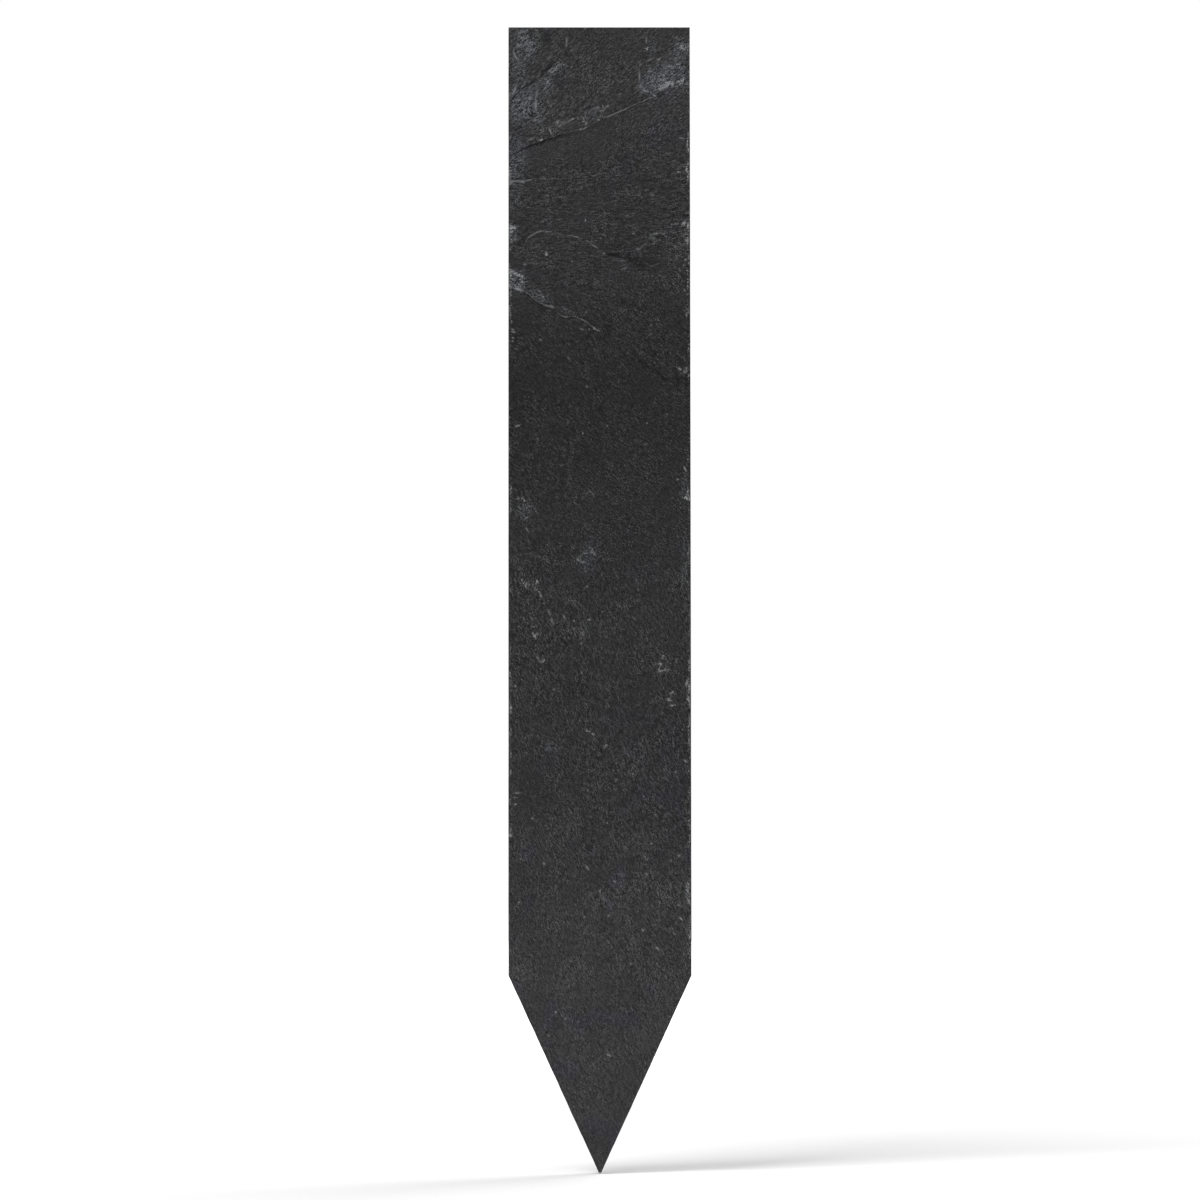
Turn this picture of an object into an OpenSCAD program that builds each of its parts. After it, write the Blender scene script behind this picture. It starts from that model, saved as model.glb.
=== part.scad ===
// Plant label stake: one slab of slate, split along its cleavage, with sawn long edges and a
// clipped point. It stands upright, as it does in a pot. Z is up, X runs across its width, and the
// face that is written on looks towards -Y. The origin is at the soil line, in the middle of the slab.

/* [Outline] */
// Whole length, from the top edge to the tip of the point
stake_l = 250; // [200:1:320]
// Width at the top edge
top_w = 39.6; // [30:0.1:60]
// Width at the shoulders, where the point begins
shoulder_w = 40; // [30:0.1:60]
// Length of the point, from the shoulders to the tip
point_l = 43; // [25:1:60]
// Width of the blunt end of the point
tip_w = 0.6; // [0.4:0.1:3]
// Thickness between the mean levels of the two split faces
slate_t = 5; // [4:0.1:8]
// Length of the stake that stands in the soil
soil_depth = 60; // [45:1:100]

/* [Split faces] */
// Height of the tallest cleavage step, from its foot to its lip
step_h = 0.5; // [0.2:0.05:0.8]
// Distance along the face from the lip of a step to its foot
step_run = 0.2; // [0.1:0.05:0.5]
// Distance from a step at which the face is back at its mean level
step_fade = 16; // [8:1:30]
// Furthest that the broken lip of a step strays from its course
step_stray = 0.35; // [0:0.05:0.6]
// Height of the long swells in each face
swell_h = 0.14; // [0:0.02:0.3]
// Length of one swell down the slab
swell_l = 74; // [40:1:120]
// Height of the roughness all over each face
rough_h = 0.06; // [0:0.01:0.1]

/* [Edges] */
// Widest chip along the four long edges
chip_w = 0.7; // [0.3:0.05:1]
// Deepest bite that the clippers left in the edges of the point
nibble_h = 0.12; // [0:0.02:0.3]
// Distance between one bite and the next
nibble_pitch = 1.7; // [1.2:0.1:4]

/* [Facets] */
// Columns of facets across each split face
columns = 20; // [10:1:24]
// Distance between rows of facets down the slab
row_pitch = 5.5; // [5:0.5:12]

/* [Hidden] */

slate_colour = [0.22, 0.22, 0.23];
blade_l = stake_l - point_l;
top_z = stake_l - soil_depth;

// A step is [course, rise]. A course is where its lip runs, as [share of the width from the left,
// mm below the top edge]. A rise is how tall it is there, as [share of the width, share of step_h],
// and it is negative where the slate below the lip is the higher side.
corner_sheet = [
    [[0, 16.9], [0.09, 12.7], [0.25, 7.5], [0.5, 3.8], [1, 1.8]],
    [[0, 0.5], [0.2, 0.6], [0.36, 0]]
];
long_sheet = [
    [[0, 27.4], [0.28, 23.4], [0.5, 20.4], [0.66, 17.5], [0.9, 13.2], [1, 12.3]],
    [[0, 0.7], [0.28, 1], [0.6, 0.5], [1, 0.35]]
];
split_lip = [
    [[0, 33.5], [0.23, 33.3], [0.86, 33.7], [1, 33.5]],
    [[0, 0.4], [0.15, 0.1], [0.6, 0], [0.8, 0.5], [1, 0.1]]
];
shell_scar = [
    [[0, 49.7], [0.13, 45.3], [0.38, 45.7], [0.6, 50.3], [0.72, 49], [0.81, 45.4], [1, 45.1]],
    [[0, 0], [0.1, -0.4], [0.45, -0.3], [0.6, -0.8], [0.72, 0.3], [1, 0.2]]
];
lens_sheet = [
    [[0, 58], [0.25, 61.3], [0.47, 66.1], [0.61, 67.8], [1, 69.3]],
    [[0, 1], [0.25, 0.8], [0.5, 0.4], [0.66, 0]]
];
side_sheet = [
    [[0, 70.4], [0.72, 73.3], [0.83, 75.7], [1, 77]],
    [[0.55, 0], [0.75, 0.6], [1, 0.7]]
];
front_steps = [corner_sheet, long_sheet, split_lip, shell_scar, lens_sheet, side_sheet];

// The back is split from the same block, so its steps are as tall but run elsewhere.
back_steps = [
    [[[0, 9], [0.45, 14], [1, 21]], [[0.3, 0], [0.6, 0.4], [1, 0.7]]],
    [[[0, 38], [0.3, 35], [0.7, 40], [1, 42]], [[0, 0.8], [0.3, 0.5], [0.55, 0]]],
    [[[0, 52], [0.4, 60], [0.75, 57], [1, 50]], [[0, 0.1], [0.4, 0.6], [0.8, 0.4], [1, 0.1]]],
    [[[0, 84], [0.5, 78], [1, 68]], [[0, 0.6], [0.5, 0.9], [1, 0.4]]],
    [[[0, 98], [0.35, 101], [0.7, 97], [1, 99]], [[0.1, 0], [0.35, -0.5], [0.7, -0.3], [0.9, 0]]],
    [[[0, 112], [0.4, 117], [1, 126]], [[0, 0.7], [0.4, 0.3], [0.6, 0]]]
];
// Each face has a number of its own that shifts its swells and its roughness.
front_shift = 20;
back_shift = 205;

// The lines that bound the rows of facets: the top edge, the steps, the shoulders and the tip
function cut(depth) = [[[0, depth], [1, depth]], [[0, 0], [1, 0]]];
function bounds_of(steps) = concat([cut(0)], steps, [cut(blade_l), cut(stake_l)]);
front_bounds = bounds_of(front_steps);
back_bounds = bounds_of(back_steps);
first_step = 1;
last_step = len(front_steps);
shoulder_bound = last_step + 1;

// The same roughness each time, from a seed
noise_count = 997;
noise = rands(-1, 1, noise_count, 41);
row_stride = 61;
function noise_at(row, column) = noise[(row * row_stride + column) % noise_count];

// Where a bound's line runs at a share u of the width, with its strays from one column to the next
function is_step(bound) = bound >= first_step && bound <= last_step;
function course(bounds, bound, u) =
    lookup(u, bounds[bound][0])
    + (is_step(bound) ? step_stray * noise_at(bound, round(u * columns)) : 0);
function foot(bounds, bound, u) = course(bounds, bound, u) + (is_step(bound) ? step_run : 0);

// A row is [bound above it, share of the way to the bound below]. Every step has a row on its lip
// and a row on its foot, so that it breaks the face in one crisp line.
function band_rows(bound, from, pitch) =
    let (gap = course(front_bounds, bound + 1, 0.5) - course(front_bounds, bound, 0.5))
    let (count = max(1, round(gap / pitch)))
    [for (i = [from : count]) [bound, i / count]];
rows = concat(
    [for (bound = [0 : last_step]) each band_rows(bound, 0, row_pitch)],
    band_rows(shoulder_bound, 1, nibble_pitch)
);
last_row = len(rows) - 1;

// Depth below the top edge of a row, at a share u of the width
function row_depth(bounds, row, u) =
    let (bound = rows[row][0], share = rows[row][1])
    (1 - share) * foot(bounds, bound, u) + share * course(bounds, bound + 1, u);

// How far a face stands out from its mean level. Each step lifts the slate above its lip and lowers
// the slate below its foot, and both die away with distance, so that the slab keeps its thickness.
function fade(run) = pow(max(0, 1 - abs(run) / step_fade), 2);
function step_relief(step, lip_depth, u, depth) =
    let (run = depth - lip_depth)
    let (side = run < step_run / 2 ? 0.5 : -0.5)
    side * step_h * lookup(u, step[1]) * fade(run);
function swell(u, depth, shift) =
    swell_h * (sin(360 * depth / swell_l + shift) * cos(180 * u + shift) + sin(180 * u + shift)) / 2;
function relief(bounds, row, u, depth, shift) =
    let (steps = [for (i = [first_step : last_step])
        step_relief(bounds[i], course(bounds, i, u), u, depth)])
    steps * [for (step = steps) 1]
    + swell(u, depth, shift)
    + rough_h * noise_at(row + shift, round(u * columns));

// Half the width at a depth below the top edge, less the bites along the point
function half_w(depth) = lookup(depth, [[0, top_w], [blade_l, shoulder_w], [stake_l, tip_w]]) / 2;
function bite(row, side) =
    rows[row][0] == shoulder_bound && row < last_row ? nibble_h * abs(noise_at(row, side)) : 0;

// Chips are mostly narrow with a few wide ones, and fit the width that is left near the tip.
least_chip = 0.15;
function chip(row, edge, half) =
    min(chip_w * (least_chip + (1 - least_chip) * pow(noise_at(row, edge), 4)), half / 3);

// The points of one face in one row, from the left edge to the right, then the two edges
function face_row(bounds, row, outward, shift, edge) =
    [for (column = [-1 : columns + 1])
        let (u = min(max(column / columns, 0), 1), side = u > 0.5 ? 1 : -1)
        let (depth = row_depth(bounds, row, u))
        let (half = half_w(depth) - bite(row, 0.5 + side / 2))
        let (left_chip = chip(row, edge, half), right_chip = chip(row, edge + 1, half))
        let (y = slate_t / 2 + relief(bounds, row, u, depth, shift))
        column < 0 ? [-half, outward * (y - left_chip), top_z - depth]
        : column > columns ? [half, outward * (y - right_chip), top_z - depth]
        : [u * (half - right_chip) - (1 - u) * (half - left_chip), outward * y, top_z - depth]];
function reversed(list) = [for (i = [len(list) - 1 : -1 : 0]) list[i]];

front_edge = 11;
back_edge = 23;
function ring(row) = concat(
    face_row(front_bounds, row, -1, front_shift, front_edge),
    reversed(face_row(back_bounds, row, 1, back_shift, back_edge))
);
ring_size = 2 * (columns + 3);

// Facets between one ring and the next, and the flat cuts that close the top and the tip
function wall_facets() = [for (row = [0 : last_row - 1]) for (i = [0 : ring_size - 1])
    let (a = row * ring_size + i, b = row * ring_size + (i + 1) % ring_size)
    each [[a, b, b + ring_size], [a, b + ring_size, a + ring_size]]];
function cap_facets(first) = [for (i = [0 : columns + 1])
    let (a = first + i, b = first + ring_size - 1 - i)
    each [[a, b, b - 1], [a, b - 1, a + 1]]];
function flipped(facets) = [for (facet = facets) reversed(facet)];

module slate_stake() {
    color(slate_colour)
        polyhedron(
            points = [for (row = [0 : last_row]) each ring(row)],
            faces = concat(
                wall_facets(),
                cap_facets(0),
                flipped(cap_facets(last_row * ring_size))
            )
        );
}

slate_stake();
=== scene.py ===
"""Slate plant label stake: the riven slab, its finishes, and the studio that it is shown in.

The slab is one sheet of facets whose rows follow the cleavage steps. It is extruded through the
thickness of the slate, and both split faces, the sawn sides and the clipped point are then worked
into it. Lengths inside the classes are millimetres; meshes and lamps are in metres.
"""

import logging
import math
from dataclasses import dataclass, field, fields
from enum import Enum

import bmesh
import bpy
import numpy as np
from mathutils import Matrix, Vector


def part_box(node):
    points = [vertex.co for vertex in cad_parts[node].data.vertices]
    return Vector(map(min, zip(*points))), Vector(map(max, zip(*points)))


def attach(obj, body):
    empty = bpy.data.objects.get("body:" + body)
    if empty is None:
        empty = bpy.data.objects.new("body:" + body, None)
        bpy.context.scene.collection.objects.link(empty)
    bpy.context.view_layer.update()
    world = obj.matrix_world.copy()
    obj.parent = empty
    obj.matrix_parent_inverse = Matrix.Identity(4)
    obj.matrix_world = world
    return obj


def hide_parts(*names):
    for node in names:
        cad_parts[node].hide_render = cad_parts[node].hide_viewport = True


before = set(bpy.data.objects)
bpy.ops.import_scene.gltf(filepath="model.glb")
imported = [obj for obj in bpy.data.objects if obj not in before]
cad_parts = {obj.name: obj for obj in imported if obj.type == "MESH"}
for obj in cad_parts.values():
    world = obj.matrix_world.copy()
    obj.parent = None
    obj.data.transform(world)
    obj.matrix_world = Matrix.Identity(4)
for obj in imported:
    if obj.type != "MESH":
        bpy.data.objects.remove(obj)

MM = 0.001
WHITE = (1, 1, 1, 1)
# Place along and across a spot, for a point that no spot is near
NO_SPOT = 9.0
LOG = logging.getLogger("slate_stake")
Curve = tuple[tuple[float, float], ...]
Colour = tuple[float, float, float, float]
Socket = tuple[str, str, float]


def read_curve(curve: Curve, at: np.ndarray) -> np.ndarray:
    """Reads a smooth curve through a few points.

    Args:
        curve: Points of (place, value), in order of place.
        at: Places to read the curve at.

    Returns:
        The curve's values, level beyond its ends.
    """
    places, values = (np.array(column, float) for column in zip(*curve))
    slopes = np.gradient(values, places)
    at = np.clip(at, places[0], places[-1])
    left = np.clip(np.searchsorted(places, at, side="right") - 1, 0, len(places) - 2)
    run = places[left + 1] - places[left]
    share = (at - places[left]) / run
    rise = values[left + 1] - values[left]
    bend = slopes[left] * run * (1 - share) - slopes[left + 1] * run * share
    smooth = share * share * (3 - 2 * share)
    return values[left] + rise * smooth + share * (1 - share) * bend


def read_line(curve: Curve, at: np.ndarray) -> np.ndarray:
    """Reads a curve of straight runs, which never passes its own points."""
    places, values = zip(*curve)
    return np.interp(at, places, values)


class Lattice:
    """Smooth seeded noise on a plane."""

    SIDE = 256

    def __init__(self, seed: int) -> None:
        """Fills the lattice with values from -1 to 1."""
        self.values = np.random.default_rng(seed).uniform(-1, 1, (self.SIDE, self.SIDE))

    def single(self, x: np.ndarray, y: np.ndarray) -> np.ndarray:
        """Reads one layer of noise, whose features are about one unit across."""
        x, y = np.broadcast_arrays(x, y)
        left, low = np.floor(x).astype(int), np.floor(y).astype(int)
        across, up = x - left, y - low
        across = across * across * (3 - 2 * across)
        up = up * up * (3 - 2 * up)
        corner = [
            self.values[(left + i) % self.SIDE, (low + j) % self.SIDE]
            for i, j in ((0, 0), (1, 0), (0, 1), (1, 1))
        ]
        lower = corner[0] + (corner[1] - corner[0]) * across
        upper = corner[2] + (corner[3] - corner[2]) * across
        return lower + (upper - lower) * up

    def layered(self, x: np.ndarray, y: np.ndarray, layers: int) -> np.ndarray:
        """Adds layers of noise, each half as large and half as strong as the one before."""
        total = sum(
            self.single(x * 2**k + 17 * k, y * 2**k - 11 * k) / 2**k for k in range(layers)
        )
        return total / 1.6


def turned(x: np.ndarray, up: np.ndarray, degrees: float) -> tuple[np.ndarray, np.ndarray]:
    """Turns a plane, so that the first result runs along a line that leans up by degrees."""
    cosine, sine = math.cos(math.radians(degrees)), math.sin(math.radians(degrees))
    return x * cosine + up * sine, up * cosine - x * sine


def soft_step(low: float, high: float, value: np.ndarray) -> np.ndarray:
    """Rises smoothly from 0 at low to 1 at high."""
    share = np.clip((value - low) / (high - low), 0, 1)
    return share * share * (3 - 2 * share)


@dataclass(frozen=True)
class Step:
    """One cleavage step, where a sheet of slate broke off.

    Attributes:
        course: Depth of its lip below the top edge, by the share of the width from the left.
        rise: How far the slate above the lip stands out past the slate below it.
        pale: How much of the lip is bruised pale.
        dark: How dark the painted shadow at the foot of a step is.
    """

    course: Curve
    rise: Curve
    pale: Curve = ((0, 0.2),)
    dark: Curve = ((0, 0.3),)


class MarkKind(Enum):
    """What a mark on the face is."""

    BRUISE = "slate crushed into pale specks"
    SPOT = "small pale spot or scratch"
    HAZE = "soft pale dust"
    DENT = "shallow hollow"
    # Darker slate, and painted shadow where such marks line the cracks below the steps
    DARK_AND_SHADOW = "darker slate"
    FLAKE = "thin flake lifted off"


@dataclass(frozen=True)
class Mark:
    """One local mark on a split face.

    Attributes:
        kind: What it is.
        x: Distance from the left edge.
        depth: Distance below the top edge.
        long: Half its length, along its lean.
        wide: Half its width.
        lean: Degrees that its length leans up to the right.
        strength: How strong it is, with 1 for a plain mark, or the depth in mm of a DENT or a FLAKE.
    """

    kind: MarkKind
    x: float
    depth: float
    long: float
    wide: float
    lean: float = 0.0
    strength: float = 1.0

    def place(self, x: np.ndarray, depth: np.ndarray) -> tuple[np.ndarray, np.ndarray]:
        """Measures where points lie along and across it, as shares of its half sizes."""
        along, across = turned(x - self.x, self.depth - depth, self.lean)
        return along / self.long, across / self.wide

    def reach(self, x: np.ndarray, depth: np.ndarray) -> np.ndarray:
        """Measures how far points lie from its middle, where its rim is at 1."""
        return np.hypot(*self.place(x, depth))

    def gap(self, x: np.ndarray, depth: np.ndarray) -> np.ndarray:
        """Measures about how far points lie outside it."""
        along, across = (np.maximum(np.abs(share) - 1, 0) for share in self.place(x, depth))
        return np.hypot(along * self.long, across * self.wide)


def place_marks(*groups: tuple[MarkKind, tuple[tuple[float, ...], ...]]) -> tuple[Mark, ...]:
    """Makes the marks of one face, from a kind and its rows of numbers in each group."""
    return tuple(Mark(kind, *row) for kind, rows in groups for row in rows)


FRONT_STEPS = (
    Step(
        course=(
            (0, 16), (0.04, 14.4), (0.085, 12.9), (0.11, 12.3), (0.15, 11.2), (0.18, 10.3), (0.2, 9.3),
            (0.22, 8.5), (0.245, 7.6), (0.275, 6.7), (0.4, 4.8), (0.6, 3), (1, 1.8),
        ),
        rise=((0, 0.1), (0.08, 0.3), (0.22, 0.28), (0.3, 0.03), (1, 0)),
        pale=((0, 0.5), (0.05, 0.4), (0.08, 0), (0.24, 0), (0.28, 0.3), (0.32, 0)),
        dark=(
            (0, 0.9), (0.04, 1.2), (0.085, 1), (0.18, 1.2), (0.2, 0.5), (0.215, 1.2), (0.245, 1.1),
            (0.28, 0),
        ),
    ),
    Step(
        course=(
            (0, 27.8), (0.045, 27), (0.115, 25.7), (0.185, 24.8), (0.235, 24), (0.285, 23.3),
            (0.34, 22.8), (0.4, 22.1), (0.45, 21.5), (0.475, 21.1), (0.5, 20.5), (0.525, 19.9), (0.56, 19.3),
            (0.6, 18.6), (0.65, 17.9), (0.71, 16.8), (0.77, 15.8), (0.81, 15.2), (0.86, 14.1), (0.91, 13.1),
            (0.96, 12.4), (1, 12.2),
        ),
        rise=((0, 0.2), (0.12, 0.4), (0.28, 0.46), (0.36, 0.2), (0.8, 0.14), (1, 0.12)),
        pale=(
            (0, 0.1), (0.1, 0), (0.3, 0.3), (0.36, 0.6), (0.42, 1), (0.52, 0.6), (0.6, 1), (0.8, 1),
            (0.84, 0.5), (0.95, 0.5), (1, 0.2),
        ),
        dark=((0, 0.3), (0.04, 0.8), (0.12, 1), (0.29, 1), (0.34, 0.3), (0.8, 0.1), (0.86, 0.4), (1, 0.1)),
    ),
    Step(
        course=(
            (0, 33.7), (0.09, 33.5), (0.12, 33.2), (0.25, 33.1), (0.5, 33.3), (0.68, 33.6),
            (0.75, 33.5), (0.8, 33.3), (1, 33.5),
        ),
        rise=((0, 0.14), (0.1, 0.12), (0.25, 0.02), (0.68, 0.02), (0.76, 0.14), (0.88, 0.02)),
        pale=((0, 1.7), (0.09, 1.7), (0.11, 0.6), (0.22, 0.5), (0.3, 0), (1, 0)),
        dark=((0, 0), (0.7, 0), (0.73, 0.9), (0.79, 0.9), (0.83, 0), (1, 0)),
    ),
    Step(
        course=(
            (0, 50), (0.06, 49.4), (0.075, 48.2), (0.083, 46.9), (0.1, 46), (0.13, 45.2),
            (0.16, 44.8), (0.21, 44.6), (0.25, 44.8), (0.3, 45.3), (0.375, 45.7), (0.415, 46.3),
            (0.45, 47.1), (0.49, 48), (0.52, 48.9), (0.545, 49.3), (0.58, 49.5), (0.61, 49.7),
            (0.64, 50.4), (0.67, 50.4), (0.695, 48.8), (0.71, 48.2), (0.75, 46.6), (0.785, 45.6),
            (0.81, 45.3), (1, 45.2),
        ),
        rise=(
            (0, 0), (0.1, -0.1), (0.5, -0.1), (0.55, 0.16), (0.64, 0.2), (0.68, 0), (0.75, -0.02),
            (1, -0.03),
        ),
        pale=(
            (0, 0), (0.06, 0.3), (0.08, 0.6), (0.3, 0.6), (0.36, 0.75), (0.5, 0.8), (0.535, 0.3), (0.55, 0),
            (0.7, 0), (0.76, 0.1), (0.79, 0.4), (0.83, 0.55), (1, 0.4),
        ),
        dark=((0, 0), (0.53, 0), (0.55, 1), (0.64, 1), (0.67, 0.5), (0.69, 0)),
    ),
    Step(
        course=((0, 54), (0.3, 57.3), (0.45, 58.6), (0.6, 60.4), (0.75, 62.6), (0.93, 65.8), (1, 66.8)),
        rise=((0, 0), (0.32, 0), (0.42, 0.07), (0.62, 0.03), (0.78, 0.08), (1, 0.05)),
        pale=((0, 0), (0.35, 0), (0.4, 0.3), (0.6, 0.05), (0.75, 0.3), (0.95, 0)),
        dark=((0, 0), (0.38, 0), (0.45, 0.2), (0.6, 0), (0.8, 0.3), (1, 0)),
    ),
    Step(
        course=(
            (0, 57), (0.055, 57.6), (0.095, 58.2), (0.115, 58.8), (0.145, 59.8), (0.195, 60.6),
            (0.235, 61.1), (0.265, 62.2), (0.28, 62.8), (0.335, 63.3), (0.37, 63.2), (0.4, 63.9),
            (0.425, 64.2), (0.45, 64.9), (0.475, 65.8), (0.5, 66.3), (0.55, 67.2), (1, 69.3),
        ),
        rise=((0, 0.42), (0.1, 0.4), (0.28, 0.26), (0.45, 0.14), (0.62, 0.02), (1, 0)),
        pale=(
            (0, 0.2), (0.08, 0.5), (0.12, 0.7), (0.24, 1), (0.27, 0.7), (0.3, 1), (0.42, 0.9),
            (0.46, 0.3), (0.475, 1), (0.5, 0.5), (0.53, 0),
        ),
        dark=((0, 0.7), (0.1, 0.8), (0.12, 1), (0.23, 0.8), (0.27, 0.4), (0.3, 0.2), (0.5, 0.2), (0.6, 0)),
    ),
    Step(
        course=(
            (0, 70.4), (0.6, 71.6), (0.715, 72.4), (0.735, 73.2), (0.775, 73.7), (0.8, 74.5),
            (0.83, 75.2), (0.86, 76.2), (0.9, 76.4), (1, 76.6),
        ),
        rise=((0, 0), (0.68, 0.01), (0.74, 0.16), (0.84, 0.22), (1, 0.32)),
        pale=((0, 0),),
        dark=((0, 0), (0.7, 0), (0.72, 0.8), (0.75, 1), (0.78, 0.5), (0.82, 0.9), (0.86, 0.7), (0.89, 0)),
    ),
)

BACK_STEPS = (
    Step(
        course=((0, 9), (0.2, 10.5), (0.45, 14), (0.7, 16), (1, 21)),
        rise=((0, 0), (0.3, 0), (0.6, 0.2), (1, 0.35)),
        pale=((0, 0), (0.5, 0.3), (1, 0.8)),
    ),
    Step(
        course=((0, 38), (0.15, 35.4), (0.3, 35), (0.5, 37), (0.7, 40), (1, 42)),
        rise=((0, 0.4), (0.3, 0.25), (0.55, 0.02), (1, 0)),
        pale=((0, 0.7), (0.3, 0.4), (0.5, 0)),
    ),
    Step(
        course=((0, 52), (0.2, 55), (0.4, 60), (0.6, 59.4), (0.75, 57), (1, 50)),
        rise=((0, 0.05), (0.4, 0.3), (0.8, 0.2), (1, 0.05)),
        pale=((0, 0), (0.3, 0.5), (0.8, 0.5), (1, 0.2)),
    ),
    Step(
        course=((0, 66), (0.25, 69), (0.4, 70), (0.7, 66), (1, 60)),
        rise=((0, 0.1), (0.4, 0.04), (0.7, 0.1), (1, 0.2)),
        pale=((0, 0.2), (0.4, 0), (0.7, 0.3), (1, 0.5)),
    ),
    Step(
        course=((0, 84), (0.3, 81.5), (0.5, 78), (0.7, 75.5), (1, 68)),
        rise=((0, 0.3), (0.5, 0.45), (1, 0.2)),
        pale=((0, 0.3), (0.5, 0.6), (1, 0.2)),
        dark=((0, 0.5), (0.5, 0.9), (1, 0.3)),
    ),
    Step(
        course=((0, 98), (0.2, 100), (0.35, 101), (0.5, 99.6), (0.7, 97), (1, 99)),
        rise=((0, 0), (0.1, 0), (0.35, -0.2), (0.7, -0.15), (0.9, 0), (1, 0)),
        pale=((0, 0), (0.2, 0.5), (0.8, 0.3), (0.9, 0)),
    ),
    Step(
        course=((0, 112), (0.2, 114), (0.4, 117), (0.7, 122), (1, 126)),
        rise=((0, 0.35), (0.4, 0.15), (0.6, 0.01), (1, 0)),
        pale=((0, 0.8), (0.3, 0.5), (0.6, 0)),
    ),
)

# Marks on the front, each kind roughly from the top down, as distance from the left edge, depth
# below the top, half length, half width, lean and strength
BRUISES = (
    (3.6, 3.2, 2.6, 1.8, 60, 0.5), (5.4, 3.2, 0.5, 0.9, 0, 0.6), (10.6, 8.8, 1.3, 0.8, 20, 0.9),
    (9.4, 9.6, 0.9, 0.8, 0, 1.1), (8.5, 11.6, 0.5, 1.2, 0, 0.9), (8, 13.3, 0.8, 1, 0, 0.6),
    (4.5, 18.5, 5, 4, 0, 0.3), (2, 20, 2.2, 1.2, 0, 0.45), (3, 11, 3.5, 3, 0, 0.2),
    (34.9, 12.2, 1.5, 1, 20, 1.25), (35.8, 12.4, 0.5, 0.8, 0, 1.3), (33.3, 13.2, 2.2, 0.8, 20, 1.1),
    (37.6, 11.7, 1.6, 0.8, 10, 1.1), (37, 8.3, 1.1, 0.7, 0, 1.1), (32.8, 7.2, 1, 0.7, 60, 0.7),
    (32.5, 12, 2.5, 1.6, 20, 0.8), (31, 10.5, 2.2, 2.2, 0, 0.45), (35, 10, 3.2, 1.6, 10, 0.6),
    (36.5, 6.8, 2.6, 0.9, 15, 0.45), (38.2, 4.4, 1.3, 1, -20, 1), (30.2, 4.7, 0.4, 0.6, 0, 1.6),
    (1.9, 28, 2, 3.8, 0, 0.45), (1.6, 24.5, 2, 1, 20, 0.4), (0.4, 31.6, 0.6, 0.9, 0, 1.3),
    (7.6, 22.4, 2, 0.8, 0, 0.6), (38.3, 42.7, 0.8, 0.9, 0, 1.2), (0.9, 44, 1.1, 0.9, 0, 1.5),
    (1.5, 53.7, 2.2, 0.6, -30, 1.2), (2.5, 56, 1.8, 1.6, 0, 0.75), (0.8, 55.2, 0.8, 1.2, 0, 0.6),
    (2.2, 57.4, 1.6, 0.6, -22, 1), (38.9, 25.6, 0.4, 1.9, 0, 0.7), (38.8, 46, 0.5, 1.8, 0, 0.5),
    (38.5, 51.8, 0.5, 1.6, 0, 0.6), (38.6, 66, 0.5, 1.4, 0, 0.5),
    (6, 58.5, 1.6, 0.9, -30, 0.5), (8, 59.6, 2.2, 0.9, -30, 0.4), (38.2, 58.4, 0.4, 0.8, 0, 0.9),
    (38.8, 60.2, 0.5, 0.8, 0, 0.9), (38.9, 92.4, 0.7, 0.7, 0, 0.7), (38.9, 102.8, 0.5, 0.8, 20, 1.6),
    (3.6, 104.9, 2.4, 1.6, 0, 0.55), (3.6, 106.8, 1.4, 1.6, 0, 0.5), (16.6, 115.8, 2.6, 2.2, 0, 0.25),
    (29.4, 138.2, 0.7, 0.6, 0, 0.8), (39.2, 147, 0.5, 0.8, 0, 1.4), (14.5, 142.1, 0.3, 0.6, 0, 1.2),
    (2.8, 142.4, 0.5, 0.6, 0, 1), (26.5, 141.2, 0.7, 0.7, 0, 0.6), (9.2, 157, 1.4, 0.9, 0, 0.6),
    (13.1, 186.2, 0.4, 0.6, 0, 0.9), (39, 188.5, 0.6, 2, 0, 1), (35.2, 216, 0.7, 1, 0, 0.6),
    (29.8, 226, 0.8, 1.2, 0, 0.5),
)
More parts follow.
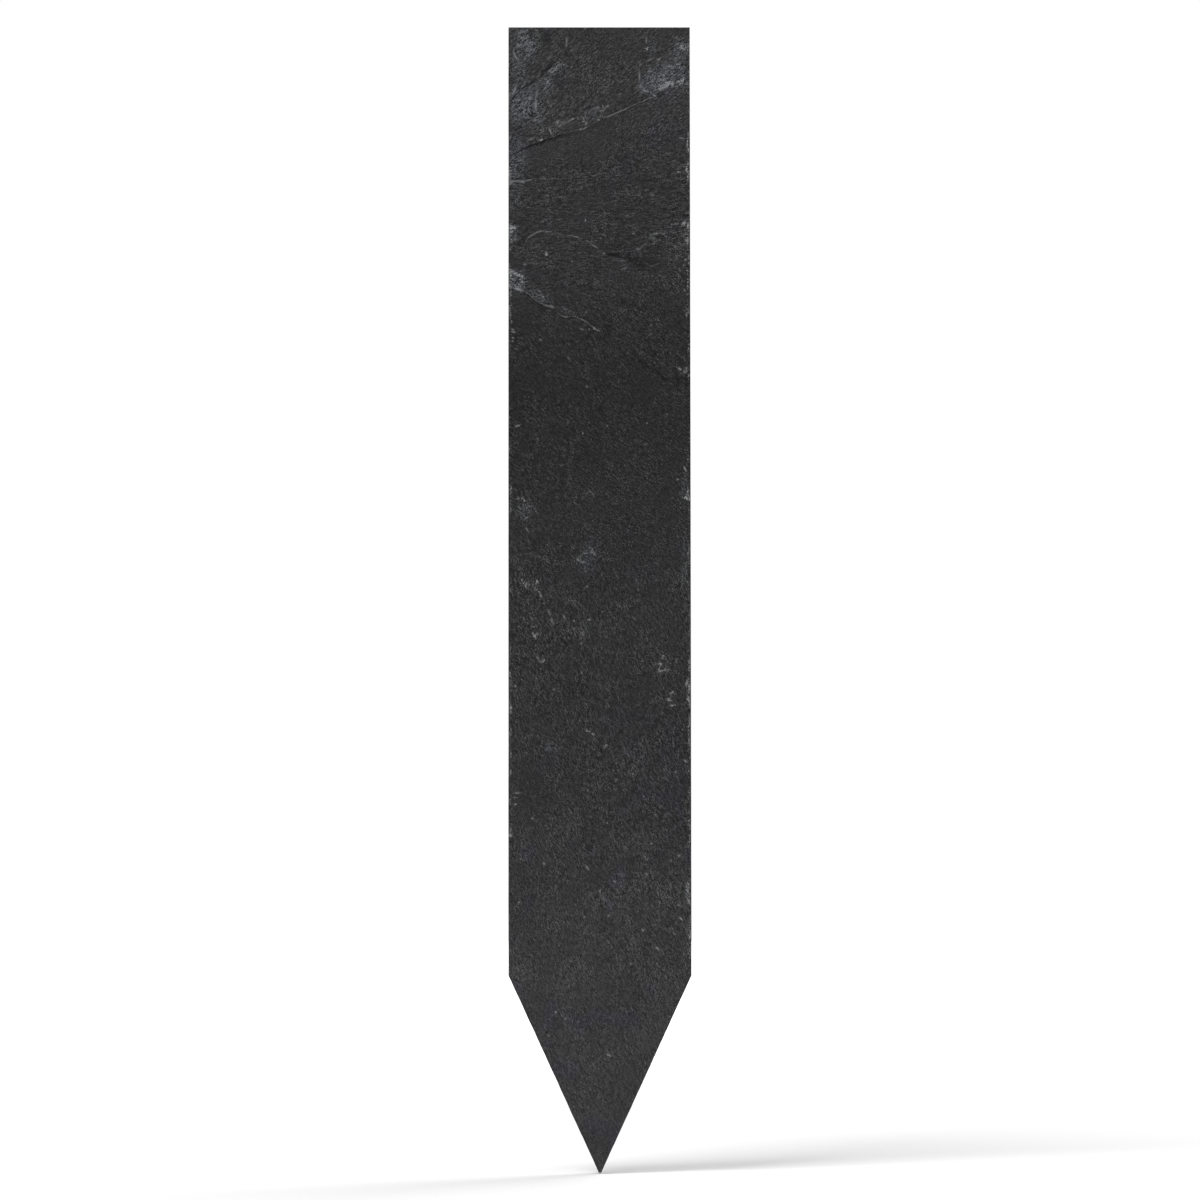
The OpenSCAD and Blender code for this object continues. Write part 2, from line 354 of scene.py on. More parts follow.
SPOTS = (
    (2.2, 3.9, 0.9, 0.5, -40, 0.8), (2.6, 1.2, 1.5, 0.5, 30, 0.4), (1.6, 6.4, 1.9, 0.35, -62, 1.1),
    (1.3, 13.8, 2.2, 0.35, 68, 1.1), (8.9, 6.6, 1.2, 0.35, 40, 0.6), (6.2, 14.5, 1.5, 0.45, 80, 0.6),
    (6, 17.2, 1.2, 0.4, 85, 1.1), (6.6, 10.8, 1.2, 0.5, 40, 0.5), (5.8, 20.3, 0.8, 0.35, 10, 0.8),
    (10.7, 20.6, 0.9, 0.5, 40, 1), (14, 20, 0.45, 0.3, 0, 1.5), (16.4, 19.9, 0.35, 0.45, 0, 1.3),
    (12.5, 20.8, 1.2, 0.3, 10, 0.5), (19.6, 17.5, 0.55, 0.5, 30, 1.1), (21.7, 17.2, 0.6, 0.4, 0, 1.1),
    (20.7, 18.2, 0.7, 0.3, 40, 0.8), (18.2, 17.9, 0.5, 0.3, 0, 0.5), (17.6, 18.6, 1, 0.3, -60, 0.4),
    (24.3, 14.6, 0.5, 0.35, 30, 0.8), (16.4, 15.2, 0.6, 0.3, 60, 0.5), (28.6, 10.7, 2.2, 0.3, 90, 0.9),
    (28.3, 13, 1.2, 0.35, 25, 0.8), (30, 13.9, 1.2, 0.35, -10, 1.3), (31.9, 14.9, 0.9, 0.35, -45, 1.1),
    (33.9, 11.5, 0.6, 0.3, 0, 1.4), (35.3, 8.5, 1.3, 0.35, 0, 1), (30.9, 7.1, 1.6, 0.35, 25, 0.6),
    (36.9, 3.6, 0.6, 0.3, 20, 0.9), (36.6, 2.2, 0.7, 0.3, 35, 0.8), (30.1, 2.8, 1.2, 0.35, 90, 0.9),
    (37.8, 24.2, 1.1, 0.3, -12, 0.9),
    (12.7, 3.2, 1.9, 0.35, 86, 0.8), (2.5, 29.1, 0.7, 0.3, 0, 0.8), (7.2, 24.6, 0.6, 0.35, 15, 1.8),
    (9.1, 22.6, 1.6, 0.3, -66, 1.1), (17, 21, 0.7, 0.4, 70, 1.1),
    (19.7, 20.2, 0.6, 0.4, 10, 1.1), (11, 21.6, 0.9, 0.35, 0, 0.8), (5, 24.4, 1.5, 0.4, 20, 0.6),
    (16.8, 42.1, 0.3, 0.35, 0, 1.5),
    (37.2, 31.6, 0.6, 0.3, 0, 1.4), (35.7, 43, 0.4, 0.3, 0, 1.2), (36.7, 42.9, 0.8, 0.3, 10, 0.7),
    (38.7, 46.4, 0.35, 0.6, 0, 1), (38.7, 50.7, 0.4, 0.4, 0, 1.2), (38.5, 57.3, 0.35, 0.5, 0, 1),
    (38.9, 62.8, 0.3, 0.8, 0, 0.9),
    (31.4, 36.6, 0.8, 0.4, -10, 0.6), (1.5, 46.3, 0.7, 0.4, 0, 0.8), (3.6, 51.7, 0.6, 0.4, 0, 0.8),
    (8.4, 49.6, 0.5, 0.4, 0, 1.8), (8.2, 48.9, 0.4, 0.3, 0, 0.8), (13.9, 51.1, 0.3, 0.3, 0, 1.3),
    (20.8, 49.4, 0.5, 0.4, 0, 0.9), (25.1, 50.9, 1.4, 0.3, 0, 0.5), (25.4, 52.6, 1.2, 0.35, 15, 0.6),
    (30.2, 51.6, 1.2, 0.25, -36, 0.35), (32.4, 51.7, 1.1, 0.25, 16, 0.4), (28.3, 48.4, 0.6, 0.4, -20, 1.1),
    (29.6, 47.4, 1.3, 0.22, 32, 0.35),
    (27.3, 45, 0.5, 0.3, 0, 1), (31.2, 45.7, 0.9, 0.25, 24, 0.4), (3, 54.3, 0.5, 0.4, 0, 1.7),
    (2.2, 57.1, 1.6, 0.4, -10, 1), (6.8, 57.6, 0.35, 0.3, 0, 1.3), (7.6, 58.8, 0.4, 0.3, 0, 1.3),
    (9.6, 61, 0.8, 0.4, -30, 0.9), (18.8, 65.7, 0.6, 0.4, -30, 1.9), (16, 65.9, 1, 0.3, -25, 0.7),
    (7, 68.2, 0.7, 0.35, -20, 0.8), (1.1, 66.5, 0.7, 0.35, -10, 1), (0.7, 64.2, 0.3, 0.35, 0, 1.2),
    (0.9, 68.5, 0.4, 0.3, 0, 1.1), (37.3, 74.5, 0.9, 0.35, -30, 1.3), (38.9, 74.4, 0.5, 0.5, 30, 1.3),
    (38.6, 75.3, 0.5, 0.4, 0, 0.9), (13.2, 72.3, 1.2, 0.35, -55, 0.5), (17.1, 78.4, 0.5, 0.5, 30, 0.6),
    (2, 87, 0.9, 0.35, 20, 1.2), (38.6, 96.4, 1, 0.35, -60, 1.6), (36.9, 98.7, 0.5, 0.4, 0, 1),
    (16.3, 88.6, 0.3, 0.3, 0, 1.3), (21.5, 87, 0.35, 0.3, 0, 1.3), (29.9, 91, 0.35, 0.3, 0, 1.1),
    (30.3, 86.4, 0.35, 0.3, 0, 1), (2.2, 102.8, 0.6, 0.35, 30, 1.1), (3.5, 103.3, 0.35, 0.45, 0, 1.6),
    (4.1, 109.6, 1.2, 0.35, -55, 0.8), (17.8, 113.6, 0.4, 0.4, 0, 1.5),
    (18.7, 114.8, 1.1, 0.35, -58, 1.2), (16.8, 114.8, 1, 0.3, 0, 0.8),
    (15.2, 116.2, 0.8, 0.35, -45, 1.1), (16.3, 116.7, 0.5, 0.4, 0, 1), (17.2, 115.6, 0.9, 0.3, 0, 0.8),
    (16.9, 118.7, 0.4, 0.35, 0, 0.8), (3, 120.7, 0.5, 0.35, -80, 1.2),
    (3.8, 122.1, 0.8, 0.35, -62, 1.7), (6.3, 120.9, 0.7, 0.35, -60, 1.7), (6, 122.6, 0.8, 0.35, -45, 1),
    (7.1, 124, 0.9, 0.35, -70, 1.2), (4.4, 121.4, 0.9, 0.3, -40, 0.7), (17.2, 122.1, 0.5, 0.4, 30, 1),
    (8.9, 127.6, 1.2, 0.4, -58, 0.8), (9.5, 129.6, 1.3, 0.4, -72, 0.9), (5.1, 129, 1, 0.3, -50, 0.6),
    (12.2, 128.7, 1.1, 0.35, -65, 0.9), (14.3, 129.6, 0.35, 0.35, 0, 1.2),
    (17.7, 129.3, 0.6, 0.35, 0, 1.7), (14.4, 131.2, 0.5, 0.3, 0, 1.1),
    (16.2, 132.4, 0.7, 0.3, -75, 0.9), (15.9, 134.5, 0.3, 0.5, 0, 0.8),
    (5.6, 132.8, 1.2, 0.35, -62, 1.8), (6.4, 132.3, 0.6, 0.3, -70, 0.9),
    (7.8, 138.1, 0.4, 0.35, 0, 1.6), (7.4, 138.7, 0.35, 0.3, 0, 1.4), (6.4, 137.6, 0.9, 0.35, -60, 0.8),
    (33.8, 137.2, 0.5, 0.3, 0, 1.2), (33.1, 138.9, 0.8, 0.35, 4, 1.7),
    (33.3, 140.5, 1.1, 0.35, 14, 1.7), (34.9, 140.2, 0.7, 0.25, 0, 0.8),
    (38.8, 143.3, 0.9, 0.35, 80, 1.6), (35.9, 145.1, 0.5, 0.4, -50, 1.6),
    (35.1, 146.6, 0.7, 0.35, 0, 1.4), (1.5, 143.8, 0.4, 0.4, 0, 1.2), (10, 144.5, 0.6, 0.4, 0, 0.7),
    (0.6, 148.5, 0.4, 0.4, 0, 1.7), (35.8, 148, 1.1, 0.35, 6, 1.7), (17.2, 153.6, 0.6, 0.35, -10, 1.1),
    (18.5, 154.3, 0.5, 0.35, -50, 1.1), (21.3, 156.7, 0.4, 0.35, 0, 1.5),
    (38.6, 160.1, 0.9, 0.35, -30, 1.1), (36.5, 162.6, 0.4, 0.4, 0, 0.9),
    (27.2, 162.9, 0.35, 0.35, 0, 1.3), (2, 167.1, 1.4, 0.4, 0, 0.8), (1.5, 169.6, 0.5, 0.35, 20, 1.4),
    (5.3, 172.7, 0.5, 0.4, 0, 1), (21.6, 173.7, 0.3, 0.3, 0, 1.5), (31.2, 178.2, 0.5, 0.4, 0, 1),
    (37.3, 180.8, 0.5, 0.4, 0, 1.3), (35.5, 181.9, 0.4, 0.4, 0, 0.9), (30.2, 184.9, 0.5, 0.4, -40, 1.1),
    (0.4, 176.4, 0.7, 0.4, -40, 1.8), (17.2, 183.5, 1.1, 0.35, -55, 1.3),
    (7.8, 182.5, 0.7, 0.4, -40, 1), (23.2, 186.4, 0.6, 0.4, -40, 1.4), (20, 188.5, 0.3, 0.4, 0, 1.4),
    (2.3, 191, 0.4, 0.35, 0, 1.2), (16.6, 194.2, 0.35, 0.35, 0, 1.5), (21.9, 193.9, 0.5, 0.35, 20, 1.3),
    (37.7, 194.6, 0.9, 0.35, -40, 1.6), (29.3, 197.1, 0.5, 0.5, 0, 1.3),
    (32.6, 201.1, 0.8, 0.35, -40, 1.7), (36.2, 197.8, 0.8, 0.3, -50, 0.7),
    (26.7, 204.4, 0.4, 0.5, 0, 0.8), (10.4, 215, 0.4, 0.35, 0, 1.6), (12.4, 216.4, 0.35, 0.3, 0, 1.4),
    (8.8, 220.1, 0.4, 0.35, 0, 1.1), (21.9, 224.3, 0.8, 0.35, -25, 1.1),
)
HAZES = (
    (4, 3.6, 4.6, 3, 90, 0.5), (10.6, 9, 2.4, 1.4, 60, 0.5), (8.6, 12.5, 3.6, 1.2, 90, 0.5),
    (3.4, 16, 5.5, 4.2, 90, 0.55), (2.4, 9, 3.5, 2, 70, 0.35), (6, 19.6, 3, 2.2, 0, 0.3),
    (6, 12.4, 2.4, 1.8, 0, 0.3),
    (2, 29, 5, 2.6, 90, 0.36), (1.5, 36, 3.4, 1.6, 90, 0.25), (16, 20, 6, 1.2, 12, 0.1),
    (34, 10.4, 5.4, 3, 16, 0.55), (37.4, 5, 3, 2.2, 60, 0.5), (31, 12.6, 3.2, 1.6, 20, 0.4),
    (37.6, 12, 2, 1.4, 0, 0.4), (31.5, 4.6, 2.2, 1.2, 90, 0.25), (1, 44.6, 2.2, 1.4, 90, 0.5),
    (2, 55.4, 2.6, 2.1, 90, 0.7), (6.8, 59, 3.2, 1.3, -30, 0.35), (12.5, 61.8, 2, 0.8, -30, 0.3),
    (24, 50.4, 2, 0.7, 0, 0.2), (31, 46.4, 2.4, 0.9, 28, 0.06), (3.8, 105.6, 2.8, 2.2, 0, 0.22),
    (17.2, 115.8, 3.4, 2.6, 90, 0.15), (38.6, 119, 10, 0.9, 90, 0.18), (38.4, 101, 3, 0.9, 90, 0.35),
    (16.5, 131, 3.4, 1.4, 80, 0.2), (9, 157.2, 2, 1.4, 0, 0.25), (39.3, 188, 3, 0.7, 90, 0.5),
    (39.4, 198, 3, 0.6, 90, 0.4), (21.5, 224.4, 1.8, 1, 0, 0.3),
)
# Darker patches of slate, and painted shadow along the cracks below the steps
DARKS_AND_SHADOWS = (
    (8.4, 3, 2.6, 1.2, 90, 0.45), (10.4, 12, 1.8, 1.2, 90, 0.35), (0.8, 15.2, 2, 0.35, 66, 0.6),
    (35.9, 53, 2.6, 0.45, -10, 0.45), (23.6, 49.9, 2.2, 0.6, -14, 1),
    (5.5, 11.6, 2.2, 0.42, 36, 0.85), (8.8, 8.6, 1.4, 0.35, 45, 0.7), (1.2, 14.9, 1.1, 0.25, 60, 0.9),
    (27.9, 51.2, 1.7, 0.8, -26, 0.8),
    (28.2, 51.6, 1.4, 0.4, -40, 0.9), (31, 52.5, 2.4, 0.4, -10, 0.95), (35.5, 52, 2.4, 1.2, 0, 0.25),
    (26.6, 50.4, 2.2, 0.6, -22, 0.8), (31.5, 52.5, 2.2, 0.5, -15, 0.55), (30.2, 51.5, 4.6, 1.7, -10, 0.6),
    (3.5, 47.6, 0.6, 0.5, 90, 0.6), (7, 61.2, 2, 0.5, -30, 0.4), (37.7, 76.8, 2, 1, 0, 0.3),
    (27.5, 181.8, 1.2, 0.8, 0, 0.2), (25.8, 183.6, 1.4, 0.7, 0, 0.2), (19.5, 173.2, 2.5, 0.7, 0, 0.2),
    (10.5, 218, 1.6, 2, 0, 0.25),
)
# Shallow dents, which the material also darkens with painted shade
PITS = (
    (18.9, 35.1, 0.5, 0.5, 0, 0.14), (28.9, 37.8, 0.5, 0.4, 0, 0.12), (25.6, 24.1, 0.4, 0.4, 0, 0.09),
    (2.4, 29.6, 0.5, 0.4, 0, 0.1), (3.3, 50.3, 0.6, 0.5, 0, 0.12), (27.2, 64.9, 0.4, 0.4, 0, 0.09),
    (16.5, 151.9, 0.9, 0.4, -40, 0.1), (11, 156.1, 0.7, 0.4, -30, 0.1), (19.9, 157.2, 0.5, 0.5, 0, 0.14),
    (20.4, 158.2, 0.6, 0.35, 0, 0.11), (27.7, 166.2, 0.4, 0.5, 0, 0.12), (7.6, 168, 0.5, 0.4, 0, 0.1),
    (8.5, 219.3, 0.6, 0.4, -40, 0.12), (20.9, 218, 0.6, 0.4, 0, 0.08),
)
FLAKES = (
    (31.2, 51.2, 2.4, 1.2, 4, 0.1), (1.6, 55.6, 4, 1.7, -38, 0.16), (33.6, 12.6, 5, 1.5, 22, 0.1),
    (16.6, 115.4, 2.4, 1.8, -35, 0.06),
)
FRONT_MARKS = place_marks(
    (MarkKind.BRUISE, BRUISES), (MarkKind.SPOT, SPOTS), (MarkKind.HAZE, HAZES), (MarkKind.DARK_AND_SHADOW, DARKS_AND_SHADOWS),
    (MarkKind.DENT, PITS), (MarkKind.FLAKE, FLAKES),
)

# The back isn't in view, so its marks are placed as such slate has them.
BACK_MARKS = place_marks(
    (MarkKind.HAZE, (
        (33, 16, 6, 3.4, -20, 0.5), (5, 34, 5, 2.6, 10, 0.45), (24, 58, 7, 2, 14, 0.35),
        (37, 80, 7, 2.2, 85, 0.4), (9, 106, 6, 3.6, 50, 0.45), (2, 150, 12, 1.4, 90, 0.35),
        (26, 172, 6, 3, -50, 0.2),
    )),
    (MarkKind.BRUISE, (
        (35, 18, 3, 1, -14, 0.8), (37.5, 11, 1.6, 1.2, 0, 0.9), (4, 33.6, 3, 0.8, 12, 1),
        (1.2, 40, 1, 2.4, 0, 0.9), (20, 57.6, 3.4, 0.7, -4, 0.7), (19, 76, 2.6, 0.8, 18, 0.9),
        (6, 111.4, 3.4, 0.9, -10, 0.9), (38.4, 96, 1, 2.6, 0, 0.8),
    )),
    (MarkKind.DARK_AND_SHADOW, (
        (12, 22, 5, 3, 20, 0.2), (28, 88, 6, 3, -30, 0.25),
    )),
    (MarkKind.FLAKE, (
        (8, 106, 6, 3, 50, 0.08), (27, 140, 5, 2.4, -50, 0.07),
    )),
    (MarkKind.DENT, (
        (15, 47, 0.7, 0.5, 0, 0.12), (31, 125, 0.6, 0.5, 0, 0.1), (10, 189, 0.6, 0.6, 0, 0.1),
    )),
    (MarkKind.SPOT, (
        (30.5, 6, 1.6, 0.35, -60, 0.8), (22, 11, 0.5, 0.4, 0, 1.2), (28.4, 23.6, 0.9, 0.35, 30, 1),
        (11.8, 29.6, 0.4, 0.4, 0, 1.4), (17, 43.5, 2.2, 0.3, -8, 0.7), (33.6, 46.8, 0.5, 0.5, 0, 1.5),
        (6.4, 63, 0.8, 0.35, 50, 1.1), (29.5, 71, 1.2, 0.35, -55, 1), (13.6, 91, 0.5, 0.4, 0, 1.3),
        (24.8, 104, 1, 0.35, -60, 1.2), (26, 105.4, 0.8, 0.35, -62, 1), (34, 119, 0.6, 0.4, 0, 1),
        (18.6, 133, 1.2, 0.35, -66, 1.3), (19.8, 135, 0.8, 0.35, -60, 1), (7.4, 146, 0.5, 0.4, 0, 1.2),
        (30.2, 158, 0.9, 0.35, 10, 1.3), (12.4, 176, 0.5, 0.4, 0, 1.2),
        (22.6, 196, 0.8, 0.35, -50, 1.1), (17.8, 219, 0.5, 0.4, 0, 1.2),
    )),
)

# How fresh the broken arris is down each long edge, by mm below the top
LEFT_FRESH = (
    (0, 0.2), (29, 0.3), (31, 0.9), (34, 0.9), (36, 0.2), (40, 0.7), (47, 0.8), (50, 0.1), (53, 1),
    (58, 0.9), (60, 0.2), (62, 0.7), (69, 0.7), (71, 0.1), (86, 0.3), (95, 0.4), (106, 0.35),
    (118, 0.15), (130, 0.2), (142, 0.5), (146, 0.3), (149, 0.8), (151, 0.3), (168, 0.45), (172, 0.2),
    (176, 0.7), (178, 0.2), (207, 0.1), (250, 0.05),
)
RIGHT_FRESH = (
    (0, 0.3), (10, 0.3), (13, 0.5), (17, 0.2), (22, 0.3), (24, 1.1), (27, 1.1), (28.5, 0.3), (31, 0.9),
    (33, 0.8), (35, 0.3), (41, 0.4), (43, 0.8), (44.7, 0.3), (46.4, 0.9), (48.4, 0.3), (50.7, 1),
    (52, 0.3), (53.5, 0.8), (55.5, 0.3), (58, 0.6), (60, 0.3), (62.6, 0.7), (66, 0.4), (70, 0.6), (72, 0.4),
    (76, 0.6), (80, 0.3), (90, 0.4), (93, 0.7), (98, 0.4), (101, 0.4), (102.5, 1), (104, 0.5), (108, 0.4),
    (129, 0.4),
    (142, 0.5), (144, 1), (149, 0.9), (152, 0.4), (160, 0.7), (163, 0.2), (167, 0.9), (170, 0.2),
    (176, 0.5), (184, 0.6), (191, 0.8), (193, 0.3), (196, 0.8), (202, 0.8), (205, 0.2), (250, 0.1),
)


# Lean of the grain by depth below the top edge, then the leans that the materials mix, and how
# drawn out the streaks are at each
GRAIN_LEAN = ((0, 40), (22, 34), (36, 2), (58, -28), (81, -45), (125, -63), (250, -68))
GRAIN_TURNS = (38.0, 4.0, -42.0, -66.0)
GRAIN_STRETCH = (3.4, 4.2, 3.6, 3.8)
# Depths between which the grain goes over to each of those leans from the one before
GRAIN_CHANGES = (None, (16, 34), (44, 68), (92, 132))
# How crushed the first columns of points are, counted in from an arris
ARRIS_BRUISES = (0.15, 1.1, 1.1, 0.45)

# Brightness down the slab, by depth below the top edge: darkest around 75 mm down, brighter at the top and
# much brighter toward the tip
TONE_DOWN = (
    (0, 1.42), (14, 1.36), (28, 1.18), (40, 1.15), (52, 1.08), (66, 0.76), (75, 0.68), (95, 0.78),
    (108, 0.93), (125, 1.03), (141, 1.1), (160, 1.16), (183, 1.46), (201, 1.8), (217, 1.97), (250, 1.98),
)
# Strength of the grain, by depth
ROUGH_DOWN = (
    (0, 0.83), (14, 0.86), (24, 0.95), (42, 0.98), (59, 1), (72, 0.9), (96, 0.9), (110, 0.97), (124, 1.02),
    (141, 0.98), (157, 0.92), (190, 0.78), (206, 0.68), (223, 0.5), (250, 0.42),
)
# How much of the slate is bluish, by depth
BLUE_DOWN = (
    (0, 0.7), (30, 0.7), (50, 0.5), (62, 0.3), (72, 0.1), (106, 0.1), (113, 0.7), (121, 0.5),
    (128, 0.2), (150, 0.5), (174, 0.9), (250, 1),
)


@dataclass
class FaceLooks:
    """What the materials need to know at each point of a split face.

    Attributes:
        tone: Brightness at each point, around 1, which the darker marks lower, some of them as painted shadow
            along the steps.
        rough: Strength of its grain, around 1.
        haze: How dusty and pale it is all over.
        bruise: How crushed it is into pale specks.
        lip: How pale the broken lip of a step is.
        step_shadow: How dark the painted shadow at the foot of a step is.
        blue: How bluish it is.
        along: Place along the nearest spot, where its ends are at -1 and 1.
        across: Place across the nearest spot.
        power: How pale the nearest spot is, or where it is negative, how dark the painted shade in the
            nearest dent is.
    """

    tone: np.ndarray
    rough: np.ndarray
    haze: np.ndarray
    bruise: np.ndarray
    lip: np.ndarray
    step_shadow: np.ndarray
    blue: np.ndarray
    along: np.ndarray
    across: np.ndarray
    power: np.ndarray


@dataclass
class SplitFace:
    """One riven face of the slab, as heights over a grid of points.

    Attributes:
        steps: Its cleavage steps, from the top down.
        marks: Its local marks.
        fresh: How fresh its left and right arrises are, by depth.
        seed: Seed of its noise.
        reach: How far a step's lift and drop spread along the face.
        stray: How far a lip wanders from its course.
        jag: How far its teeth reach from one column to the next.
        run: Distance from a lip to the foot of the step.
        lip_wide: Half the width of the bruised line along a lip.
        step_shadow_wide: Width of the painted shadow past the foot of a step.
        swell: Height of the long swells.
        swell_size: How long they are, across and down the slab.
        ripple: Height of the riven ripples.
        ripple_size: How long they are, along and across the grain.
        lamina: Height of the faint sheets whose edges line the face.
        lamina_size: How long their bends are, across and down the slab.
        grit: Height of the roughness from one point to the next.
        grit_size: How long it is.
        lattice: Its noise, from the seed.
    """

    steps: tuple[Step, ...]
    marks: tuple[Mark, ...]
    fresh: tuple[Curve, Curve]
    seed: int
    reach: float = 15.0
    stray: float = 0.32
    jag: float = 0.2
    run: float = 0.14
    lip_wide: float = 0.21
    step_shadow_wide: float = 0.45
    swell: float = 0.1
    swell_size: tuple[float, float] = (34.0, 46.0)
    ripple: float = 0.045
    ripple_size: tuple[float, float] = (9.0, 2.4)
    lamina: float = 0.02
    lamina_size: tuple[float, float] = (21.0, 17.0)
    grit: float = 0.007
    grit_size: float = 0.55
    lattice: Lattice = field(init=False)

    def __post_init__(self) -> None:
        """Makes the face's noise."""
        self.lattice = Lattice(self.seed)

    def lip(self, number: int, share: np.ndarray, width: float) -> np.ndarray:
        """Reads how deep below the top edge a step's ragged lip runs.

        Args:
            number: Which step.
            share: Share of the width from the left.
            width: Width of the slab.

        Returns:
            Depths below the top edge.
        """
        x = share * width
        row = np.full_like(x, 9.7 * number)
        ragged = self.stray * self.lattice.layered(x / 3.2, row, 3)
        toothed = self.jag * self.lattice.layered(x / 1.1, row + 4, 3)
        return read_curve(self.steps[number].course, share) + ragged + toothed

    def run_from_lip(self, number: int, share: np.ndarray, depth: np.ndarray, width: float) -> np.ndarray:
        """Measures how far below a step's lip points lie, with the foot of the step at run."""
        return depth - self.lip(number, share, width)

    def relief(self, share: np.ndarray, x: np.ndarray, depth: np.ndarray, width: float) -> np.ndarray:
        """Measures how far the face stands out from its mean level.

        Args:
            share: Share of the width of each point's column.
            x: Distances from the left edge.
            depth: Distances below the top edge.
            width: Width of the slab.

        Returns:
            Heights, outwards from the slab.
        """
        noise = self.lattice
        height = self.swell * noise.layered(x / self.swell_size[0], depth / self.swell_size[1], 2)
        for number, step in enumerate(self.steps):
            run = self.run_from_lip(number, share, depth, width)
            side = np.where(run < self.run / 2, 0.5, -0.5)
            fade = np.clip(1 - np.abs(run) / self.reach, 0, 1) ** 2
            height += side * read_line(step.rise, share) * fade
        lean = read_curve(GRAIN_LEAN, depth)
        weights = [np.clip(1 - np.abs(lean - turn) / 45, 0, 1) for turn in GRAIN_TURNS]
        for turn, weight in zip(GRAIN_TURNS, weights):
            along, across = turned(x, -depth, turn)
            ripples = noise.layered(along / self.ripple_size[0], across / self.ripple_size[1] + 31, 3)
            height += self.ripple * ripples * weight / sum(weights)
        sheets = 9 * noise.layered(x / self.lamina_size[0] + 5, depth / self.lamina_size[1], 4)
        height += self.lamina * (soft_step(0.42, 0.58, sheets % 1) - sheets % 1)
        height += self.grit * noise.single(x / self.grit_size, depth / self.grit_size)
        rim = 0.25 * noise.layered(x / 0.9, depth / 0.9 + 77, 2)
        for mark in self.marks:
            reach = mark.reach(x, depth) + rim
            if mark.kind is MarkKind.DENT:
                height -= mark.strength * soft_step(1.3, 0.2, reach)
            elif mark.kind is MarkKind.FLAKE:
                height -= mark.strength * soft_step(1.06, 0.9, reach)
        return height

    def broken(self, side: int, depth: np.ndarray) -> np.ndarray:
        """Reads how freshly broken the left or right arris is, from 0 to 1."""
        ragged = self.lattice.layered(depth / 2.2, np.full_like(depth, 50.0 * side), 3)
        return np.clip(read_line(self.fresh[side], depth) + 0.6 * ragged, 0, 1)

    def mask(self, kind: MarkKind, x: np.ndarray, depth: np.ndarray) -> np.ndarray:
        """Joins the marks of one kind into a mask."""
        total = np.zeros_like(depth)
        for mark in self.marks:
            if mark.kind is kind:
                reach = soft_step(1.35, 0.25, mark.reach(x, depth))
                total = np.maximum(total, mark.strength * reach)
        return total

    def spots(self, x: np.ndarray, depth: np.ndarray) -> tuple[np.ndarray, np.ndarray, np.ndarray]:
        """Finds where each point lies on its nearest spot or pit, which the material draws.

        Args:
            x: Distances from the left edge.
            depth: Distances below the top edge.

        Returns:
            The places along and across that mark, and its power, which ends a little outside it.
        """
        along, across, power = (np.full_like(depth, value) for value in (NO_SPOT, NO_SPOT, 0.0))
        nearest = np.full_like(depth, np.inf)
        for mark in self.marks:
            if mark.kind in (MarkKind.SPOT, MarkKind.DENT):
                gap = mark.gap(x, depth)
                place = mark.place(x, depth)
                full = mark.strength if mark.kind is MarkKind.SPOT else -1
                closer = gap < nearest
                nearest = np.where(closer, gap, nearest)
                along = np.where(closer, place[0], along)
                across = np.where(closer, place[1], across)
                power = np.where(closer, full * soft_step(0.9, 0.6, gap), power)
        return along, across, power

    def looks(self, share: np.ndarray, x: np.ndarray, depth: np.ndarray, width: float) -> FaceLooks:
        """Works out what the materials need to know at each point.

        Args:
            share: Share of the width of each point's column.
            x: Distances from the left edge.
            depth: Distances below the top edge.
            width: Width of the slab.

        Returns:
            The face's looks.
        """
        noise = self.lattice
        blotch = noise.layered(x / 13 + 3, depth / 19, 3)
        tone = read_curve(TONE_DOWN, depth) * (1 + 0.09 * blotch)
        # Darker marks: darker slate in some places, painted shadow along the steps' cracks in others
        tone *= 1 - self.mask(MarkKind.DARK_AND_SHADOW, x, depth)
        lip, step_shadow = np.zeros_like(depth), np.zeros_like(depth)
        for number, step in enumerate(self.steps):
            run = self.run_from_lip(number, share, depth, width)
            broken = np.clip(0.8 + 1.4 * noise.layered(x / 1.1, depth * 0 + 5.3 * number, 3), 0.2, 1.3)
            on_lip = np.clip(1 - np.abs(run) / self.lip_wide, 0, 1)
            in_foot = soft_step(0, self.run, run) * soft_step(self.run + self.step_shadow_wide, self.run, run)
            lip = np.maximum(lip, on_lip * broken * read_line(step.pale, share))
            # Painted shadow in a band just past the foot of each step
            step_shadow = np.maximum(step_shadow, in_foot * read_line(step.dark, share))
        bruise = self.mask(MarkKind.BRUISE, x, depth)
        for side in (0, 1):
            for inward, strength in enumerate(ARRIS_BRUISES):
                column = inward if side == 0 else -1 - inward
                crushed = strength * self.broken(side, depth[:, column])
                bruise[:, column] = np.maximum(bruise[:, column], crushed)
        haze = self.mask(MarkKind.HAZE, x, depth)
        patchy = noise.layered(x / 4.5 + 9, depth / 6, 3)
        blue = read_curve(BLUE_DOWN, depth) * soft_step(0.15, 0.55, patchy)
        rough = read_curve(ROUGH_DOWN, depth)
        return FaceLooks(tone, rough, haze, bruise, lip, step_shadow, blue, *self.spots(x, depth))


